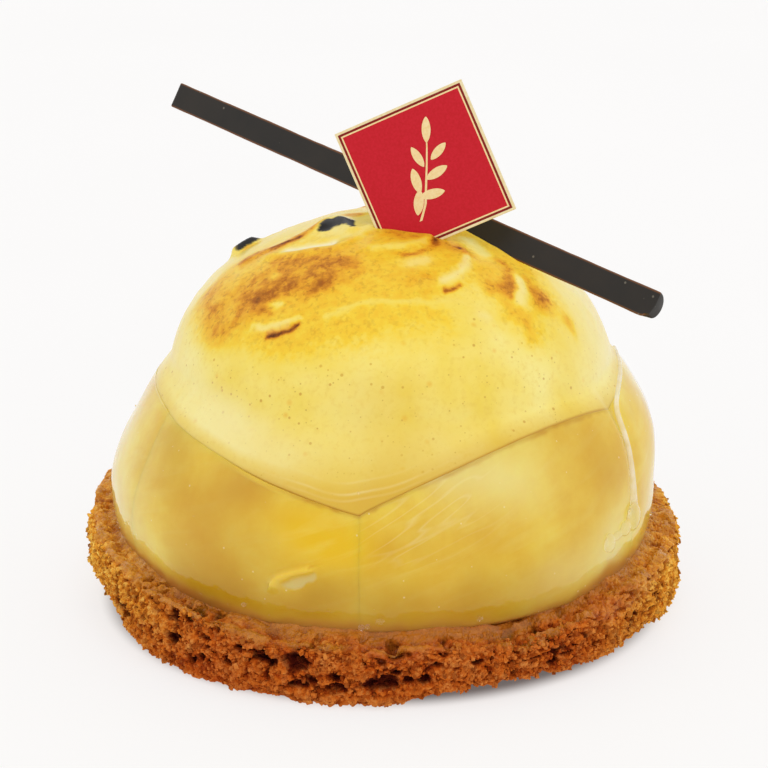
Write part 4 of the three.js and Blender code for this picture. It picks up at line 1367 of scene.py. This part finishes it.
# %% Print the borders
BORDERS = [(0.28, 2), (0.32, 3), (0.2, 1)]  # width of each ring from the edge in, and the finish inside it
for inset, finish in BORDERS:
    only(card)
    bpy.ops.object.mode_set(mode="EDIT")
    bpy.ops.mesh.select_mode(type="FACE")
    bpy.ops.mesh.select_all(action="DESELECT")
    bpy.ops.object.mode_set(mode="OBJECT")
    widest = max((p for p in card.data.polygons if p.normal.z > 0.99), key=lambda p: p.area)
    widest.select = True
    bpy.ops.object.mode_set(mode="EDIT")
    bpy.ops.mesh.inset(thickness=inset * MM, use_boundary=True)
    bpy.ops.object.mode_set(mode="OBJECT")
    middle = max((p for p in card.data.polygons if p.normal.z > 0.99 and p.select), key=lambda p: p.area)
    middle.material_index = finish
put(card, on_card(points(card)))
finish_piece(card, "card", "card")

# %% [markdown]
# A plain sprig in pale gold fills the middle of the card. Leaves start as flat discs whose outline is
# drawn out to two points, the stem is a thin bent strip, and Solidify gives the ink a hair of height.
# Each leaf lies a breath above the last one, so that no two faces fall together where they overlap.

# %% Gold sprig on the card
# Leaves: place on the card, turn in degrees, length and width in millimetres.
LEAVES = [
    (-2.0, -2.9, 62, 2.9, 1.15), (-0.2, -2.6, -8, 2.9, 1.1), (-1.3, -0.6, 84, 2.9, 1.1),
    (1.2, -0.6, 10, 2.8, 1.05), (-0.1, 1.8, 100, 2.6, 0.95), (2.3, 1.5, 26, 2.5, 0.95),
    (2.0, 4.2, 68, 2.9, 1.0),
]
STEM = [(-2.6, -4.9), (-1.4, -3.4), (-0.5, -1.5), (0.5, 0.6), (1.3, 2.4), (1.7, 3.4)]
SPRIG_SIZE = 1.2
INK = 0.03  # thickness in millimetres
LEAF_STEP, STEM_STEP = 0.004, 0.02  # how far each leaf, and the stem, lies above the first leaf
parts = []
for x, y, turn, long, wide in LEAVES:
    only()
    bpy.ops.mesh.primitive_circle_add(vertices=28, radius=1.0, fill_type="NGON")
    leaf = bpy.context.object
    disc = points(leaf) * MM
    disc[:, 0] *= long / 2
    disc[:, 1] *= wide / 2 * np.abs(disc[:, 1]) ** 0.5
    turned = disc @ np.array(Matrix.Rotation(math.radians(turn), 3, "Z")).T
    put(leaf, turned + np.array([x, y, LEAF_STEP * len(parts)]))
    parts.append(leaf)
only()
bpy.ops.mesh.primitive_grid_add(x_subdivisions=24, y_subdivisions=1, size=1.0)
strip = bpy.context.object
flat = points(strip) * MM + 0.5
knots = np.linspace(0, 1, len(STEM))
line = np.stack([np.interp(flat[:, 0], knots, [p[k] for p in STEM]) for k in (0, 1)], -1)
line[:, 0] += (flat[:, 1] - 0.5) * (0.34 - 0.2 * flat[:, 0])
put(strip, np.column_stack([line, np.full(len(line), STEM_STEP)]))
only(strip, *parts)
bpy.ops.object.join()
sprig = bpy.context.object
sprig.name = sprig.data.name = "card_sprig"
ink = sprig.modifiers.new("ink", "SOLIDIFY")
ink.thickness = INK * MM
ink.offset = 1.0
bpy.ops.object.modifier_apply(modifier="ink")
xyz = points(sprig)
xyz[:, :2] *= SPRIG_SIZE
xyz[:, 2] += CARD_THICK / 2 - 0.3 * INK - xyz[:, 2].min()
put(sprig, on_card(xyz))
sprig.data.materials.append(gold_line)
finish_piece(sprig, "card")

# %% [markdown]
# Glaze. A clear fruit glaze was poured over the tart. On the fruit it is the coat of the material;
# where it stands thick enough to be seen by itself it is made of closed, clear pieces that reach into
# what they lie on: a bead that ran down one seam into drops, and bubbles. Real glass would throw dark
# shadows here, so these pieces cast none.

# %% Glaze materials
# Clear glaze has no colour of its own, only bright rims and a bent view of what lies under it.
glaze, tree, shader = start_material("clear_fruit_glaze")
wave = noise(tree, object_place(tree), 2.5 * MM, Detail=1.0)
set_sockets(tree, shader, {"Base Color": linear("#fffaf0"), "Roughness": 0.03, "IOR": 1.4,
                           "Transmission Weight": 1.0, "Normal": bump(tree, wave, 0.15, 0.3 * MM)})

# Where the glaze stands thickest, up the bead, it is whitish and less clear: painted light for the white
# surroundings that the bead reflects and bends into view.
bead_glaze, tree, shader = start_material("thick_fruit_glaze")
haze = noise(tree, object_place(tree), 1.5 * MM, Detail=2.0)
clear = stretch(tree, attribute(tree, "painted_white_bead"), 0.0, 1.0, 0.5, 0.88)
set_sockets(tree, shader, {"Base Color": shades(tree, haze, (0.35, "#f6eecd"), (0.65, "#fefdf6")),
                           "Roughness": 0.04, "IOR": 1.45, "Transmission Weight": clear})


def finish_glaze(piece, finish=glaze):
    """Dress a glaze piece and let light pass it."""
    piece.data.materials.clear()
    piece.data.materials.append(finish)
    piece.visible_shadow = False
    piece.visible_diffuse = False
    finish_piece(piece, "pear")


print("glaze material", len(tree.nodes), "nodes")

# %% Bead and drops on the right seam
# The bead along the pear's edge: angle in degrees, radius.
BEAD = [(10.0, 0.32), (-4.0, 0.4), (-12.0, 0.42), (-20.0, 0.42)]
# Its run down the seam: angle, height, radius.
DRIP = [
    (-26.9, 31.9, 0.46), (-27.8, 30.0, 0.46), (-28.2, 28.0, 0.46), (-28.5, 25.7, 0.48), (-28.6, 23.0, 0.5),
    (-28.3, 20.4, 0.6), (-28.6, 18.6, 0.75),
]
# The drops at its end: angle, height, half sizes, and how far out they stand.
DROPS = [
    (-29.6, 17.4, (1.7, 0.9, 2.0), 0.3), (-33.2, 16.6, (1.3, 0.6, 1.1), 0.15),
    (-39.6, 15.9, (1.0, 0.7, 1.4), 0.2), (-36.6, 16.2, (1.5, 0.45, 0.7), 0.02),
]
FUSE_GRAIN = 0.15  # millimetres


def on_pear(turn, z, out=0.0):
    """A place on the pears at this angle in degrees and this height, `out` in front of the face."""
    angle = np.radians([turn])
    r = pear_radius(angle, np.array([float(z)]))[0] + out
    return Vector((r * math.cos(angle[0]), r * math.sin(angle[0]), z))


course = []
for turn, wide in BEAD:
    edge = float(pear_top(np.radians([turn]))[0])
    course.append((on_pear(turn, edge + 0.1, 0.1), wide))
course += [(on_pear(turn, z, 0.15), wide) for turn, z, wide in DRIP]
only()
bpy.ops.curve.primitive_nurbs_path_add()
drip = bpy.context.object
drip.name = "glaze_drip"
spline = drip.data.splines[0]
spline.points.add(len(course) - len(spline.points))
for point, (at, wide) in zip(spline.points, course):
    point.co = (*(at * MM), 1.0)
    point.radius = wide
drip.data.bevel_depth = 1.0 * MM
drip.data.bevel_resolution = 5
drip.data.use_fill_caps = True
only(drip)
bpy.ops.object.convert(target="MESH")
drops = [drip]
for turn, z, size, out in DROPS:
    only()
    bpy.ops.mesh.primitive_uv_sphere_add(segments=32, ring_count=20, radius=1.0)
    drop = bpy.context.object
    face_out = Matrix.Rotation(math.radians(turn + 90), 3, "Z")
    ball = points(drop) * MM * np.array(size)
    put(drop, ball @ np.array(face_out).T + np.array(on_pear(turn, z, out)))
    drops.append(drop)
only(*drops)
bpy.ops.object.join()
drip = bpy.context.object
fuse = drip.modifiers.new("fuse", "REMESH")
fuse.mode = "VOXEL"
fuse.voxel_size = FUSE_GRAIN * MM
relax = drip.modifiers.new("relax", "SMOOTH")
relax.iterations = 8
relax.factor = 0.5
for name in ("fuse", "relax"):
    bpy.ops.object.modifier_apply(modifier=name)
bpy.ops.object.shade_smooth()
drip.data.name = "glaze_drip"
paint(drip, "painted_white_bead", soft(points(drip)[:, 2], 18.0, 21.0))
finish_glaze(drip, bead_glaze)

# %% Bubbles in the glaze
# Bubbles that can be told apart: angle, height, radius, and how far out they stand.
BUBBLES = [
    (-90.6, 10.6, 0.7, 0.35), (-94.2, 9.6, 0.4, 0.4), (-93.0, 9.8, 0.3, 0.4), (-70.9, 10.0, 0.42, 0.3),
    (-118.0, 11.0, 0.3, 0.3),
]
SCATTERED_BUBBLES = 46  # half of them on the fruit, the others along the rim
chance = np.random.default_rng(29)
for number in range(SCATTERED_BUBBLES):
    turn = chance.uniform(-180, 180)
    z = chance.uniform(10.5, 28) if number % 2 else float(rim_height(np.radians(turn))) + 0.4
    BUBBLES.append((turn, z, chance.uniform(0.1, 0.2), 0.05))
bubbles = []
for turn, z, size, out in BUBBLES:
    only()
    bpy.ops.mesh.primitive_uv_sphere_add(segments=16, ring_count=10, radius=1.0)
    bubble = bpy.context.object
    put(bubble, points(bubble) * MM * size + np.array(on_pear(turn, z, out)))
    bubbles.append(bubble)
only(*bubbles)
bpy.ops.object.join()
bubbles = bpy.context.object
bubbles.name = bubbles.data.name = "glaze_bubbles"
bpy.ops.object.shade_smooth()
finish_glaze(bubbles)
